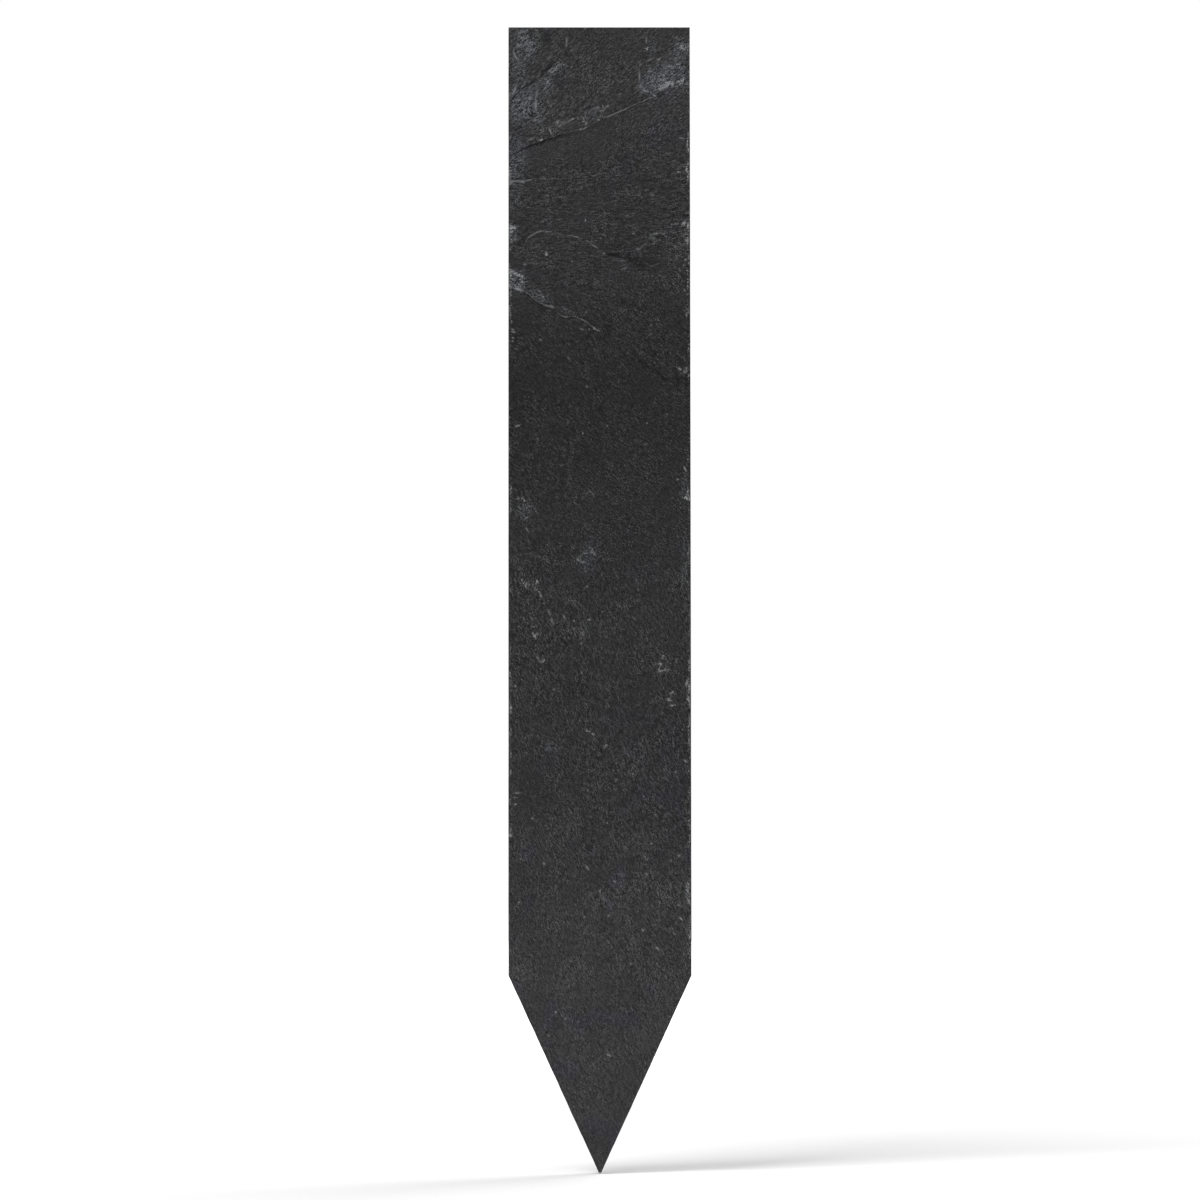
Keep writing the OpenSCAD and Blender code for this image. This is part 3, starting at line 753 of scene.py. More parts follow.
@dataclass
class SlateSlab:
    """The riven slab, which is the whole object.

    Attributes:
        columns: Facets across each split face.
        bands: Rows of facets between each pair of bounds, from the top edge to the tip.
        walls: Facets through the thickness of each edge.
        thickness: Distance between the mean levels of the two faces.
        point: Length of the point.
        tip: Width of the blunt tip.
        lean_in: How far the right edge leans in at the top.
        arris: Least width of the worn arris.
        spall: Further width of the widest chip in an arris.
        saw: Height of the saw marks on the straight edges.
        bite: Deepest bite of the clippers in the edges of the point.
        edge_crowd: How much closer the columns stand near the edges, from 0 to 1.
        lip_crowd: How much closer the rows stand near a step, from 0 to 1.
        sharp: Angle past which an edge is shaded sharp, in degrees.
        noise: Noise of the edges.
        front: The face that is written on.
        back: The other split face.
    """

    columns: int = 100
    bands: tuple[int, ...] = (20, 26, 30, 28, 20, 18, 18, 160, 76)
    walls: int = 8
    thickness: float = 5.0
    point: float = 43.0
    tip: float = 0.6
    lean_in: float = 0.4
    arris: float = 0.09
    spall: float = 0.46
    saw: float = 0.018
    bite: float = 0.09
    edge_crowd: float = 0.35
    lip_crowd: float = 0.6
    sharp: float = 36.0
    noise: Lattice = field(default_factory=lambda: Lattice(77))
    front: SplitFace = field(
        default_factory=lambda: SplitFace(FRONT_STEPS, FRONT_MARKS, (LEFT_FRESH, RIGHT_FRESH), 5)
    )
    back: SplitFace = field(
        default_factory=lambda: SplitFace(BACK_STEPS, BACK_MARKS, (RIGHT_FRESH, LEFT_FRESH), 19)
    )

    def __post_init__(self) -> None:
        """Takes the outline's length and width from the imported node."""
        low, high = (np.array(corner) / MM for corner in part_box("slate_stake"))
        self.top, self.length, self.width = high[2], high[2] - low[2], high[0] - low[0]
        self.limits = {-1: -low[1], 1: high[1]}
        self.blade = self.length - self.point

    def half_width(self, depth: np.ndarray, side: int) -> np.ndarray:
        """Reads how far the left or right edge, 0 or 1, stands from the middle at a depth."""
        half = self.width / 2
        outline = ((0, half - self.lean_in * side), (self.blade, half), (self.length, self.tip / 2))
        return read_line(outline, depth)

    def chip(self, face: SplitFace, side: int, depth: np.ndarray) -> np.ndarray:
        """Reads the width of the chipped arris down one edge of a face, which fits the tip."""
        rough = face.lattice.layered(depth / 1.7, np.full_like(depth, 13.0 * side), 3)
        broken = face.broken(side, depth) * np.clip(0.5 + rough, 0, 1)
        wide = self.arris * (1.2 + rough) + self.spall * broken
        return np.minimum(wide, self.half_width(depth, side) / 3)

    def edge_cut(self, depth: np.ndarray, through: np.ndarray, edge: int) -> np.ndarray:
        """Measures how far an edge is cut inside its straight outline.

        Args:
            depth: Depths below the top edge.
            through: Share of the way from the front face to the back.
            edge: Number of the edge, which picks its noise.

        Returns:
            Distances into the slab: saw marks on the blade, clipped bites on the point.
        """
        sawn = self.saw * (1 + self.noise.layered(depth / 7, through * 5 + 40 * edge, 3))
        bite = self.noise.layered(depth / 1.9, through * 1.6 + 60 * edge, 3)
        clipped = self.bite * (0.6 + through) * np.clip(0.55 + bite, 0, 1.6)
        point = soft_step(self.blade, self.blade + 1.5, depth)
        point = point * soft_step(self.length, self.length - 2, depth)
        return sawn + clipped * point

    def spread_rows(self, face: SplitFace, share: np.ndarray) -> np.ndarray:
        """Lays the rows of one face between its steps, close together near each lip.

        Args:
            face: The face whose steps the rows follow.
            share: Share of the width of each column.

        Returns:
            Depths below the top edge, by row and column.
        """
        count = len(face.steps)
        flat = [np.full_like(share, depth) for depth in (self.arris, self.blade, self.length - self.arris)]
        lips = [face.lip(number, share, self.width) for number in range(count)]
        ends = [*lips, flat[1], flat[2]]
        starts = [flat[0], *(lip + face.run for lip in lips), flat[1]]
        rows = [np.zeros_like(share)]
        for band, cells in enumerate(self.bands):
            steps = np.arange(cells + 1) / cells
            if band < count:
                steps = steps - self.lip_crowd * np.sin(2 * math.pi * steps) / (2 * math.pi)
            if band > count:
                steps = steps[1:]
            rows.extend((1 - step) * starts[band] + step * ends[band] for step in steps)
        rows.append(np.full_like(share, self.length))
        return np.array(rows)

    def lay_face(self, face: SplitFace, outward: int) -> tuple[np.ndarray, FaceLooks]:
        """Works out where the points of one split face lie and what they look like.

        Args:
            face: The face.
            outward: Which way it looks along Y, -1 for the front.

        Returns:
            The points by row and column, and the face's looks at them.
        """
        inner = np.arange(self.columns - 1) / (self.columns - 2)
        inner = inner - self.edge_crowd * np.sin(2 * math.pi * inner) / (2 * math.pi)
        share = np.concatenate(([0], inner, [1]))
        depth = self.spread_rows(face, share)
        share = np.broadcast_to(share, depth.shape)
        through = np.full_like(depth, (1 + outward) / 2)
        left = self.edge_cut(depth, through, 0) - self.half_width(depth, 0)
        right = self.half_width(depth, 1) - self.edge_cut(depth, through, 1)
        chips = [self.chip(face, side, depth) for side in (0, 1)]
        x = left + chips[0] + share * (right - chips[1] - left - chips[0])
        x[:, 0], x[:, -1] = left[:, 0], right[:, -1]
        drop = np.zeros_like(depth)
        drop[:, 0], drop[:, -1] = chips[0][:, 0] * 0.8, chips[1][:, -1] * 0.8
        drop[0], drop[-1] = np.maximum(drop[0], self.arris), np.maximum(drop[-1], self.arris)
        place = (share, x + self.width / 2, depth, self.width)
        out = np.minimum(self.thickness / 2 + face.relief(*place) - drop, self.limits[outward])
        return np.stack((x, outward * out, self.top - depth), axis=-1), face.looks(*place)

    def work_edges(self, walls: list[bmesh.types.BMVert]) -> None:
        """Cuts the saw marks and the clipped bites into the points between the two faces."""
        for vert in walls:
            x, y, z = (value / MM for value in vert.co)
            depth = np.array(self.top - z)
            through = np.array(y / self.thickness + 0.5)
            if 0 < depth < self.length:
                side = 0 if x < 0 else 1
                cut = float(self.half_width(depth, side) - self.edge_cut(depth, through, side))
                vert.co.x = math.copysign(cut, x) * MM
            else:
                rough = float(self.noise.layered(np.array(x / 3), through * 5, 2))
                vert.co.z -= math.copysign(self.saw * (1 + rough), 1 - float(depth)) * MM

    def build(self) -> bpy.types.Object:
        """Makes the slab: one sheet of facets, extruded through the slate and worked.

        Returns:
            The slab's object, with its looks as attributes.
        """
        laid = {outward: self.lay_face(face, outward) for face, outward in ((self.front, -1), (self.back, 1))}
        rows = laid[-1][0].shape[0] - 1
        bm = bmesh.new()
        layers = {look.name: bm.verts.layers.float.new(look.name) for look in fields(FaceLooks)}
        bmesh.ops.create_grid(bm, x_segments=self.columns, y_segments=rows, size=0.5)
        sheet = set(bm.verts)
        bmesh.ops.extrude_face_region(bm, geom=bm.faces[:])
        through = [edge for edge in bm.edges if (edge.verts[0] in sheet) != (edge.verts[1] in sheet)]
        cells = {}
        for vert in bm.verts:
            column = round((vert.co.x + 0.5) * self.columns)
            row = round((0.5 - vert.co.y) * rows)
            cells[vert] = (-1 if vert in sheet else 1, row, column)
        for face in bm.faces:
            face.smooth = True
            if len({cells[vert][0] for vert in face.verts}) == 2:
                face.material_index = 1
        for vert, (outward, row, column) in cells.items():
            points, looks = laid[outward]
            vert.co = points[row, column] * MM
            for name, layer in layers.items():
                vert[layer] = getattr(looks, name)[row, column]
        cuts = bmesh.ops.subdivide_edges(bm, edges=through, cuts=self.walls - 1, use_grid_fill=True)
        walls = [item for item in cuts["geom_inner"] if isinstance(item, bmesh.types.BMVert)]
        self.work_edges(walls)
        for vert in walls:
            for name, layer in layers.items():
                vert[layer] = 1 if name in ("tone", "rough") else 0
        bmesh.ops.recalc_face_normals(bm, faces=bm.faces[:])
        mesh = bpy.data.meshes.new("riven_slate_stake")
        bm.to_mesh(mesh)
        bm.free()
        mesh.set_sharp_from_angle(angle=math.radians(self.sharp))
        return place_object("riven_slate_stake", mesh)

    def dress(self, slab: bpy.types.Object, riven: "RivenFinish", sawn: "SawnFinish") -> None:
        """Gives the slab its finishes, in the order of its material numbers, and seats it."""
        slab.data.materials.append(riven.material())
        slab.data.materials.append(sawn.material())
        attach(slab, "root")
        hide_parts("slate_stake")


def place_object(name: str, data: bpy.types.ID) -> bpy.types.Object:
    """Makes an object from its mesh, lamp or camera, and puts it in the scene."""
    placed = bpy.data.objects.new(name, data)
    bpy.context.scene.collection.objects.link(placed)
    return placed


class Bench:
    """Adds and links the nodes of one shader tree."""

    def __init__(self, tree: bpy.types.NodeTree) -> None:
        """Takes the tree to work in."""
        self.tree = tree

    def node(self, kind: str, inputs: dict | None = None, **settings: object) -> bpy.types.Node:
        """Adds a node.

        Args:
            kind: The node's type, without its ShaderNode prefix.
            inputs: Values to set or sockets to link, by the input's name or number.
            settings: Properties of the node.

        Returns:
            The node.
        """
        made = self.tree.nodes.new("ShaderNode" + kind)
        for name, value in settings.items():
            setattr(made, name, value)
        self.feed(made, inputs or {})
        return made

    def feed(self, node: bpy.types.Node, inputs: dict) -> None:
        """Links sockets and sets values on a node's inputs, by the input's name or number."""
        for key, value in inputs.items():
            if isinstance(value, bpy.types.NodeSocket):
                self.tree.links.new(value, node.inputs[key])
            else:
                node.inputs[key].default_value = value

    def feed_shader(self, inputs: dict) -> None:
        """Feeds the material's own shader."""
        self.feed(self.tree.nodes["Principled BSDF"], inputs)

    def bump(self, height: object, high: float) -> bpy.types.NodeSocket:
        """Turns a height from 0 to 1 into a normal, for bumps that are high millimetres tall."""
        inputs = {"Height": height, "Strength": 1.0, "Distance": high * MM}
        return self.node("Bump", inputs).outputs[0]

    def math(self, operation: str, first: object, second: object = 0.0) -> bpy.types.NodeSocket:
        """Works one sum on values or sockets."""
        return self.node("Math", {0: first, 1: second}, operation=operation).outputs[0]

    def add(self, *terms: object) -> bpy.types.NodeSocket:
        """Adds up values and sockets."""
        total = terms[0]
        for term in terms[1:]:
            total = self.math("ADD", total, term)
        return total

    def scaled(self, value: object, factor: object) -> bpy.types.NodeSocket:
        """Multiplies two values or sockets."""
        return self.math("MULTIPLY", value, factor)

    def ramp(
        self, value: object, low: object, high: object, start: float = 0.0, end: float = 1.0
    ) -> bpy.types.NodeSocket:
        """Maps a value smoothly from low and high to start and end."""
        inputs = {"Value": value, "From Min": low, "From Max": high, "To Min": start, "To Max": end}
        return self.node("MapRange", inputs, interpolation_type="SMOOTHSTEP").outputs["Result"]

    def noise(
        self, vector: object, size: float, detail: float = 2.0, rough: float = 0.5
    ) -> bpy.types.NodeSocket:
        """Reads noise whose features are about size millimetres across."""
        inputs = {"Vector": vector, "Scale": 1 / (size * MM), "Detail": detail, "Roughness": rough}
        return self.node("TexNoise", inputs).outputs["Fac"]

    def blend(self, share: object, first: object, second: object) -> bpy.types.NodeSocket:
        """Mixes two values by a share."""
        return self.node("Mix", {0: share, 2: first, 3: second}, data_type="FLOAT").outputs[0]

    def tint(self, share: object, first: object, second: object) -> bpy.types.NodeSocket:
        """Mixes two colours by a share."""
        return self.node("Mix", {0: share, 6: first, 7: second}, data_type="RGBA").outputs[2]

    def centred(self, value: object, spread: float) -> bpy.types.NodeSocket:
        """Moves noise around 0.5 to around 0, and spreads it."""
        return self.scaled(self.math("SUBTRACT", value, 0.5), spread)

    def effect(self, group: bpy.types.NodeTree, inputs: dict) -> object:
        """Adds a node group and returns its outputs."""
        return self.node("Group", inputs, node_tree=group).outputs

    def given(self) -> object:
        """Adds a group's input node and returns its sockets."""
        return self.tree.nodes.new("NodeGroupInput").outputs

    def give(self, name: str, value: bpy.types.NodeSocket) -> None:
        """Links a value to one of a group's outputs."""
        outs = [node for node in self.tree.nodes if node.bl_idname == "NodeGroupOutput"]
        out = outs[0] if outs else self.tree.nodes.new("NodeGroupOutput")
        self.tree.links.new(value, out.inputs[name])

    def attribute(self, name: str) -> bpy.types.NodeSocket:
        """Reads one of the slab's own attributes."""
        return self.node("Attribute", attribute_name=name).outputs["Fac"]


def new_material(name: str) -> tuple[bpy.types.Material, Bench]:
    """Makes a material and the bench for its nodes."""
    material = bpy.data.materials.new(name)
    material.use_nodes = True
    return material, Bench(material.node_tree)


def shader_group(name: str, ins: tuple[Socket, ...], outs: tuple[Socket, ...]) -> bpy.types.NodeTree:
    """Makes an empty shader node group.

    Args:
        name: The group's name.
        ins: Each input's name, kind of socket and default.
        outs: Each output's name, kind of socket and default.

    Returns:
        The group, with its Group Input and Group Output nodes placed.
    """
    tree = bpy.data.node_groups.new(name, "ShaderNodeTree")
    for in_out, sockets in (("INPUT", ins), ("OUTPUT", outs)):
        for label, kind, default in sockets:
            socket = tree.interface.new_socket(name=label, in_out=in_out, socket_type="NodeSocket" + kind)
            if kind == "Float":
                socket.default_value = default
    return tree


class SlateEffects:
    """The effects that both finishes of the slate use, each built once as a node group."""

    def __init__(self) -> None:
        """Builds the groups."""
        self.streaks = self.make_streaks()
        self.grit = self.make_grit()
        self.flecks = self.make_flecks()
        self.dust = self.make_dust()

    @staticmethod
    def make_streaks() -> bpy.types.NodeTree:
        """Makes short, bent streaks of split grain along one lean."""
        tree = shader_group(
            "slate_streaks",
            (("Vector", "Vector", 0), ("Lean", "Float", 0), ("Size", "Float", 3000), ("Stretch", "Float", 2)),
            (("Streak", "Float", 0),),
        )
        bench = Bench(tree)
        given = bench.given()
        turn = bench.node("CombineXYZ", {"Y": given["Lean"]}).outputs[0]
        lined = bench.node(
            "VectorRotate", {"Vector": given["Vector"], "Rotation": turn}, rotation_type="EULER_XYZ"
        )
        squash = bench.node("CombineXYZ", {"X": bench.math("DIVIDE", 1, given["Stretch"]), "Y": 1, "Z": 1})
        pressed = bench.node("VectorMath", {0: lined.outputs[0], 1: squash.outputs[0]}, operation="MULTIPLY")
        grain = {"Scale": given["Size"], "Detail": 2.0, "Roughness": 0.6, "Distortion": 0.5}
        streak = bench.node("TexNoise", {"Vector": pressed.outputs[0], **grain})
        bench.give("Streak", streak.outputs["Fac"])
        return tree

    @staticmethod
    def make_grit() -> bpy.types.NodeTree:
        """Makes fine grit, as strong as the calm of each patch of slate lets it be."""
        tree = shader_group(
            "slate_grit",
            (("Vector", "Vector", 0), ("Size", "Float", 3000), ("Patch", "Float", 200)),
            (("Grit", "Float", 0), ("Calm", "Float", 0)),
        )
        bench = Bench(tree)
        given = bench.given()
        grain = {"Scale": given["Size"], "Detail": 3.0, "Roughness": 0.7, "Distortion": 0.3}
        grit = bench.node("TexNoise", {"Vector": given["Vector"], **grain})
        patch = bench.node(
            "TexNoise", {"Vector": given["Vector"], "Scale": given["Patch"], "Detail": 3.0, "Roughness": 0.65}
        )
        bench.give("Grit", grit.outputs["Fac"])
        bench.give("Calm", bench.ramp(patch.outputs["Fac"], 0.38, 0.62))
        return tree

    @staticmethod
    def make_flecks() -> bpy.types.NodeTree:
        """Makes sparse small spots, no two alike."""
        tree = shader_group(
            "slate_flecks",
            (
                ("Vector", "Vector", 0), ("Spacing", "Float", 700), ("Radius", "Float", 0.1),
                ("Share", "Float", 0.05),
            ),
            (("Fleck", "Float", 0),),
        )
        bench = Bench(tree)
        given = bench.given()
        spread = {"Scale": given["Spacing"], "Randomness": 1.0}
        cell = bench.node("TexVoronoi", {"Vector": given["Vector"], **spread})
        chance = bench.node("SeparateColor", {0: cell.outputs["Color"]}).outputs
        reach = bench.math("DIVIDE", cell.outputs["Distance"], given["Radius"])
        dot = bench.ramp(bench.add(reach, bench.scaled(chance[1], 0.6)), 1.5, 0.5)
        picked = bench.math("LESS_THAN", chance[0], given["Share"])
        strength = bench.add(bench.scaled(chance[2], 0.7), 0.3)
        bench.give("Fleck", bench.scaled(bench.scaled(dot, picked), strength))
        return tree

    @staticmethod
    def make_dust() -> bpy.types.NodeTree:
        """Breaks a smooth mask of crushed slate into pale specks."""
        tree = shader_group(
            "slate_dust",
            (("Mask", "Float", 0), ("Streak", "Float", 0.5), ("Grit", "Float", 0.5), ("Need", "Float", 0.6)),
            (("Speck", "Float", 0),),
        )
        bench = Bench(tree)
        given = bench.given()
        vein = bench.math("ABSOLUTE", bench.math("SUBTRACT", given["Streak"], 0.5))
        vein = bench.ramp(vein, 0.09, 0.0, 0.0, 0.1)
        broken = bench.add(bench.scaled(given["Streak"], 0.35), bench.scaled(given["Grit"], 0.5), vein)
        low = bench.math("SUBTRACT", given["Need"], bench.scaled(given["Mask"], 0.16))
        speck = bench.ramp(broken, low, bench.add(low, 0.07))
        bench.give("Speck", bench.scaled(speck, bench.ramp(given["Mask"], 0.05, 0.3)))
        return tree


@dataclass(frozen=True)
class RivenFinish:
    """The split face of the slate: dark, matt, finely wrinkled, pale where it is bruised.

    Attributes:
        effects: The shared node groups.
        dark: Colour of the deepest grain.
        light: Colour of the lightest grain.
        blue: Colour of the bluish patches' lightest grain.
        pale: Colour of bruised slate.
        dusty: Colour of the soft dust.
        streak: Size of the streaks across, in millimetres.
        grit: Size of the grit, in millimetres.
        bump: Height of the grain, in millimetres.
        streak_contrast: How much the streaks darken and lighten the slate.
        grit_contrast: How much the grit does.
        level: Share of the light grain's colour on plain slate.
        bruise_pale: How pale the specks of a bruise are.
        lip_pale: How pale the specks of a lip are, and its line between them.
        fleck_pale: How pale a stray fleck is.
        spot_pale: How pale a placed spot of strength 1 is.
        haze_pale: How pale the dust lies on the grain.
        roughness: Roughness in the hollows and on the ridges of the grit.
        specular: Strength of the gloss.
    """

    effects: SlateEffects
    dark: Colour = (0.004, 0.004, 0.004, 1)
    light: Colour = (0.12, 0.12, 0.12, 1)
    blue: Colour = (0.118, 0.118, 0.14, 1)
    pale: Colour = (0.285, 0.29, 0.3, 1)
    dusty: Colour = (0.26, 0.274, 0.312, 1)
    streak: float = 0.27
    grit: float = 0.22
    bump: float = 0.11
    streak_contrast: float = 5.7
    grit_contrast: float = 7.8
    level: float = 0.133
    bruise_pale: float = 0.8
    lip_pale: tuple[float, float] = (0.27, 0.11)
    fleck_pale: float = 0.4
    spot_pale: float = 0.41
    haze_pale: float = 0.75
    roughness: tuple[float, float] = (0.74, 0.58)
    specular: float = 0.1

    def streaks(self, bench: Bench, place: bpy.types.NodeSocket) -> bpy.types.NodeSocket:
        """Lays streaks at each lean of the grain and mixes them by height.

        Args:
            bench: The material's bench.
            place: Object coordinates.

        Returns:
            The streaks, around 0.5.
        """
        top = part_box("slate_stake")[1][2] / MM
        height = bench.node("SeparateXYZ", {0: place}).outputs["Z"]
        height = bench.add(height, bench.centred(bench.noise(place, 9.0), 30 * MM))
        mixed = None
        for lean, stretch, change in zip(GRAIN_TURNS, GRAIN_STRETCH, GRAIN_CHANGES):
            inputs = {
                "Vector": place, "Lean": math.radians(lean),
                "Size": 1 / (self.streak * MM), "Stretch": stretch,
            }
            streak = bench.effect(self.effects.streaks, inputs)["Streak"]
            if change is None:
                mixed = streak
            else:
                low, high = ((top - depth) * MM for depth in change)
                mixed = bench.blend(bench.ramp(height, low, high), mixed, streak)
        return mixed

    def shade(self, bench: Bench, place: object, streak: object, grit: object, pit: object) -> object:
        """Works out the colour of unbruised slate, with painted shadow at the foot of each step and painted
        shade in pits and dents.
        """
        strength = bench.scaled(bench.attribute("rough"), bench.ramp(grit["Calm"], 0, 1, 0.75, 1.2))
        wrinkle = bench.ramp(bench.math("ABSOLUTE", bench.centred(streak, 1.0)), 0.035, 0.0)
        wrinkle = bench.scaled(wrinkle, bench.ramp(grit["Grit"], 0.46, 0.6, -0.1, 0.5))
        streaked = bench.centred(streak, self.streak_contrast)
        grain = bench.add(streaked, bench.centred(grit["Grit"], self.grit_contrast), wrinkle)
        grain = bench.math("MINIMUM", grain, bench.scaled(grain, 1.4))
        cloud = bench.ramp(bench.noise(place, 11.0, 3.0, 0.6), 0.35, 0.7, 0.9, 1.1)
        # Painted shadow at the foot of each step, which darkens the slate below
        step_shadow = bench.scaled(bench.attribute("step_shadow"), bench.ramp(grit["Grit"], 0.62, 0.45, 0.5, 1))
        level = bench.scaled(bench.attribute("tone"), bench.scaled(cloud, self.level))
        share = bench.scaled(level, bench.math("EXPONENT", bench.scaled(grain, strength)))
        # The painted step shadow and the painted shade in pits darken the slate
        share = bench.scaled(share, bench.math("SUBTRACT", 1, bench.math("MAXIMUM", step_shadow, pit)))
        return bench.tint(share, self.dark, bench.tint(bench.attribute("blue"), self.light, self.blue))

    def spot(self, bench: Bench, crushed: dict) -> bpy.types.NodeSocket:
        """Draws the nearest spot with a ragged rim, from 0 to its power."""
        place = bench.node("CombineXYZ", {"X": bench.attribute("along"), "Y": bench.attribute("across")})
        reach = bench.node("VectorMath", {0: place.outputs[0]}, operation="LENGTH").outputs["Value"]
        ragged = bench.add(bench.centred(crushed["Streak"], 1.8), bench.centred(crushed["Grit"], 3.0))
        inside = bench.ramp(bench.add(reach, ragged), 0.62, 0.25)
        return bench.scaled(inside, bench.attribute("power"))

    def material(self) -> bpy.types.Material:
        """Makes the finish.

        Returns:
            The material.
        """
        material, bench = new_material("riven_slate")
        effects = self.effects
        place = bench.node("TexCoord").outputs["Object"]
        streak = self.streaks(bench, place)
        grain = {"Size": 1 / (self.grit * MM), "Patch": 1 / (5 * MM)}
        grit = bench.effect(effects.grit, {"Vector": place, **grain})
        # The first flecks are small pits darkened with painted shade; the second are pale flecks
        pit, fleck = (
            bench.effect(
                effects.flecks,
                {"Vector": place, "Spacing": 1 / (apart * MM), "Radius": radius, "Share": share},
            )["Fleck"]
            for apart, radius, share in ((2.1, 0.08, 0.06), (1.7, 0.09, 0.04))
        )
        crushed = {"Streak": streak, "Grit": grit["Grit"]}
        bruise = bench.effect(effects.dust, {"Mask": bench.attribute("bruise"), **crushed})["Speck"]
        bruise = bench.scaled(bruise, self.bruise_pale)
        edge = bench.attribute("lip")
        lip = bench.effect(effects.dust, {"Mask": edge, "Need": 0.5, **crushed})["Speck"]
        lip = bench.add(bench.scaled(lip, self.lip_pale[0]), bench.scaled(edge, self.lip_pale[1]))
        spot = self.spot(bench, crushed)
        speck = bench.math("MAXIMUM", bruise, lip)
        speck = bench.math("MAXIMUM", speck, bench.scaled(fleck, self.fleck_pale))
        speck = bench.math("MAXIMUM", speck, bench.scaled(spot, self.spot_pale))
        # A dent's negative power adds painted shade to the pits
        pit = bench.math("MAXIMUM", pit, bench.scaled(spot, -1))
        dusty = bench.add(bench.centred(streak, 3.0), bench.centred(grit["Grit"], 4.5), 0.24)
        haze = bench.attribute("haze")
        haze = bench.scaled(haze, bench.math("MAXIMUM", bench.scaled(dusty, self.haze_pale), 0))
        colour = self.shade(bench, place, streak, grit, pit)
        colour = bench.tint(haze, colour, self.dusty)
        colour = bench.tint(speck, colour, self.pale)
        height = bench.add(
            bench.scaled(streak, 0.8), bench.scaled(grit["Grit"], 0.8),
            bench.scaled(pit, -0.4), bench.scaled(speck, 0.15),
        )
        bench.feed_shader({
            "Base Color": colour, "Roughness": bench.ramp(grit["Grit"], 0.3, 0.7, *self.roughness),
            "Normal": bench.bump(height, self.bump), "Specular IOR Level": self.specular,
        })
        return material


@dataclass(frozen=True)
class SawnFinish:
    """The sawn and clipped edges: greyer and smoother, lined by the sheets of the slate.

    Attributes:
        effects: The shared node groups.
        dark: Colour between the sheets.
        light: Colour of the sheets.
        pale: Colour of saw dust and crushed slate.
        sheet: Thickness of a sheet, in millimetres.
        bump: Height of the sheets, in millimetres.
        roughness: Roughness in the hollows and on the ridges of the sheets.
        specular: Strength of the gloss.
    """

    effects: SlateEffects
    dark: Colour = (0.014, 0.014, 0.0145, 1)
    light: Colour = (0.07, 0.07, 0.073, 1)
    pale: Colour = (0.17, 0.175, 0.185, 1)
    sheet: float = 0.3
    bump: float = 0.05
    roughness: tuple[float, float] = (0.7, 0.56)
    specular: float = 0.12

    def material(self) -> bpy.types.Material:
        """Makes the finish.

        Returns:
            The material.
        """
        material, bench = new_material("sawn_slate_edge")
        effects = self.effects
        place = bench.node("TexCoord").outputs["Object"]
        lengthwise = bench.node("VectorMath", {0: place, 1: (0.1, 1, 0.06)}, operation="MULTIPLY").outputs[0]
        sheets = bench.noise(lengthwise, self.sheet, 3.0, 0.6)
        grit = bench.effect(effects.grit, {"Vector": place, "Size": 1 / (0.3 * MM), "Patch": 1 / (7 * MM)})
        sawn = {"Vector": place, "Lean": math.radians(90), "Size": 1 / (0.4 * MM), "Stretch": 6.0}
        streak = bench.effect(effects.streaks, sawn)["Streak"]
        mask = bench.scaled(grit["Calm"], 0.6)
        dust = bench.effect(effects.dust, {"Mask": mask, "Streak": streak, "Grit": grit["Grit"]})
        grain = bench.add(bench.centred(sheets, 1.8), bench.centred(grit["Grit"], 1.2), 0.45)
        colour = bench.tint(bench.math("MAXIMUM", grain, 0), self.dark, self.light)
        colour = bench.tint(bench.scaled(dust["Speck"], 0.6), colour, self.pale)
        height = bench.add(sheets, bench.scaled(grit["Grit"], 0.5))
        bench.feed_shader({
            "Base Color": colour, "Roughness": bench.ramp(sheets, 0.3, 0.7, *self.roughness),
            "Normal": bench.bump(height, self.bump), "Specular IOR Level": self.specular,
        })
        return material


# Each lamp's name, place from the middle of the slab and side, in metres, and power in watts
LAMPS = (
    ("key_lamp", (-0.6, -0.8, 1.35), 0.6, 18.0),
    ("fill_lamp", (1.1, -1.2, 0.3), 0.9, 5.0),
    ("back_lamp", (0.9, 1.2, 0.9), 0.9, 14.0),
)


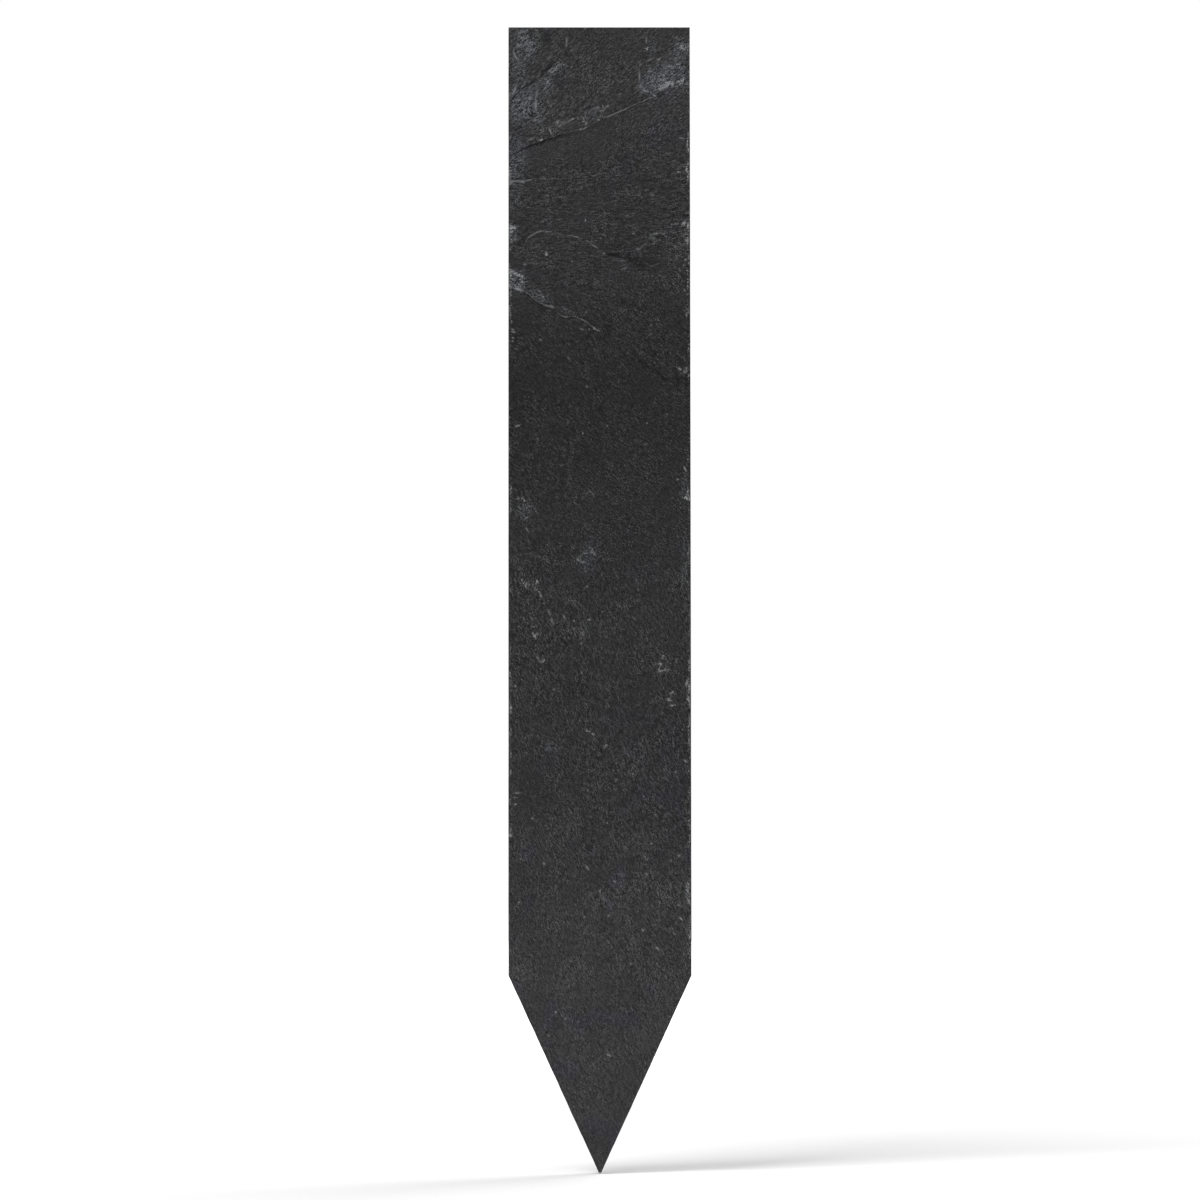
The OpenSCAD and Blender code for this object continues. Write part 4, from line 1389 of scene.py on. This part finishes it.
@dataclass
class Studio:
    """The plain white studio: floor, world, lamps and camera.

    Attributes:
        picture: Width and height of the picture, in pixels.
        pixels_per_mm: Scale of the picture at the slab.
        distance: From the camera to the slab, in millimetres.
        sensor: Width of the camera's sensor, in millimetres.
        floor_gap: From the tip down to the floor, in millimetres.
        floor_side: Side of the floor, in metres.
        floor_colour: Colour of the floor.
        glow: How much whiter the floor is seen than it is lit, at the stake and far away.
        glow_reach: How near and how far that is, in metres.
        world: Strength of the light from the world.
    """

    picture: int = 1200
    pixels_per_mm: float = 4.576
    distance: float = 2200.0
    sensor: float = 36.0
    floor_gap: float = 0.3
    floor_side: float = 3.0
    floor_colour: Colour = (0.86, 0.86, 0.86, 1)
    glow: tuple[float, float] = (0.07, 0.6)
    glow_reach: tuple[float, float] = (0.2, 0.8)
    world: float = 0.42

    def __post_init__(self) -> None:
        """Finds the middle of the object."""
        low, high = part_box("slate_stake")
        self.low = low[2]
        self.middle = Vector(((low[0] + high[0]) / 2, 0, (low[2] + high[2]) / 2))

    def place_camera(self) -> None:
        """Puts the camera square to the written face, at the middle of the slab."""
        data = bpy.data.cameras.new("camera")
        data.sensor_width = self.sensor
        data.lens = self.sensor * self.distance / (self.picture / self.pixels_per_mm)
        data.clip_end = 20.0
        camera = place_object("camera", data)
        camera.location = self.middle + Vector((0, -self.distance * MM, 0))
        camera.rotation_euler = (math.radians(90), 0, 0)
        bpy.context.scene.camera = camera

    def see_white(self, bench: Bench) -> bpy.types.NodeSocket:
        """Tells rays that look at the backdrop from rays that light the object."""
        rays = bench.node("LightPath").outputs
        seen = bench.math("MAXIMUM", rays["Is Camera Ray"], rays["Is Glossy Ray"])
        return bench.math("MAXIMUM", seen, rays["Is Transmission Ray"])

    def light_world(self) -> None:
        """Makes a white world that lights the object softly."""
        world = bpy.data.worlds.new("studio")
        world.use_nodes = True
        bpy.context.scene.world = world
        bench = Bench(world.node_tree)
        white = bench.node("Background", {"Color": WHITE, "Strength": 1.0})
        soft = bench.node("Background", {"Color": WHITE, "Strength": self.world})
        mixed = bench.node("MixShader", {0: self.see_white(bench), 1: soft.outputs[0], 2: white.outputs[0]})
        bench.tree.links.new(mixed.outputs[0], bench.tree.nodes["World Output"].inputs[0])

    def lay_floor(self) -> None:
        """Lays a plain pale floor under the tip, which keeps the stake's shadow and is white far away."""
        bm = bmesh.new()
        bmesh.ops.create_grid(bm, x_segments=1, y_segments=1, size=self.floor_side / 2)
        bmesh.ops.translate(bm, vec=(0, 0, self.low - self.floor_gap * MM), verts=bm.verts[:])
        mesh = bpy.data.meshes.new("floor")
        bm.to_mesh(mesh)
        bm.free()
        material, bench = new_material("pale_floor")
        place = bench.node("TexCoord").outputs["Object"]
        away = bench.node("VectorMath", {0: place}, operation="LENGTH").outputs["Value"]
        glow = bench.scaled(self.see_white(bench), bench.ramp(away, *self.glow_reach, *self.glow))
        bench.feed_shader({
            "Base Color": self.floor_colour, "Roughness": 0.9, "Specular IOR Level": 0.1,
            "Emission Color": WHITE, "Emission Strength": glow,
        })
        mesh.materials.append(material)
        place_object("floor", mesh)

    def hang_lamp(self, name: str, place: tuple[float, float, float], side: float, power: float) -> None:
        """Hangs a square soft lamp that looks at the middle of the object.

        Args:
            name: The lamp's name.
            place: Where it hangs from the middle of the object, in metres.
            side: Length of its sides, in metres.
            power: Its power in watts.
        """
        data = bpy.data.lights.new(name, "AREA")
        data.size = side
        data.energy = power
        lamp = place_object(name, data)
        lamp.location = self.middle + Vector(place)
        lamp.rotation_euler = (-Vector(place)).to_track_quat("-Z", "Y").to_euler()

    def build(self) -> None:
        """Builds the whole studio."""
        scene = bpy.context.scene
        scene.view_settings.view_transform = "Standard"
        self.place_camera()
        self.light_world()
        self.lay_floor()
        for lamp in LAMPS:
            self.hang_lamp(*lamp)


def main() -> None:
    """Builds the slab, its finishes and the studio."""
    logging.basicConfig(level=logging.INFO, format="%(name)s: %(message)s")
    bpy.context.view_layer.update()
    Studio().build()
    slab = SlateSlab()
    piece = slab.build()
    effects = SlateEffects()
    slab.dress(piece, RivenFinish(effects), SawnFinish(effects))
    LOG.info("%s: %d faces", piece.name, len(piece.data.polygons))


if __name__ == "__main__":
    main()
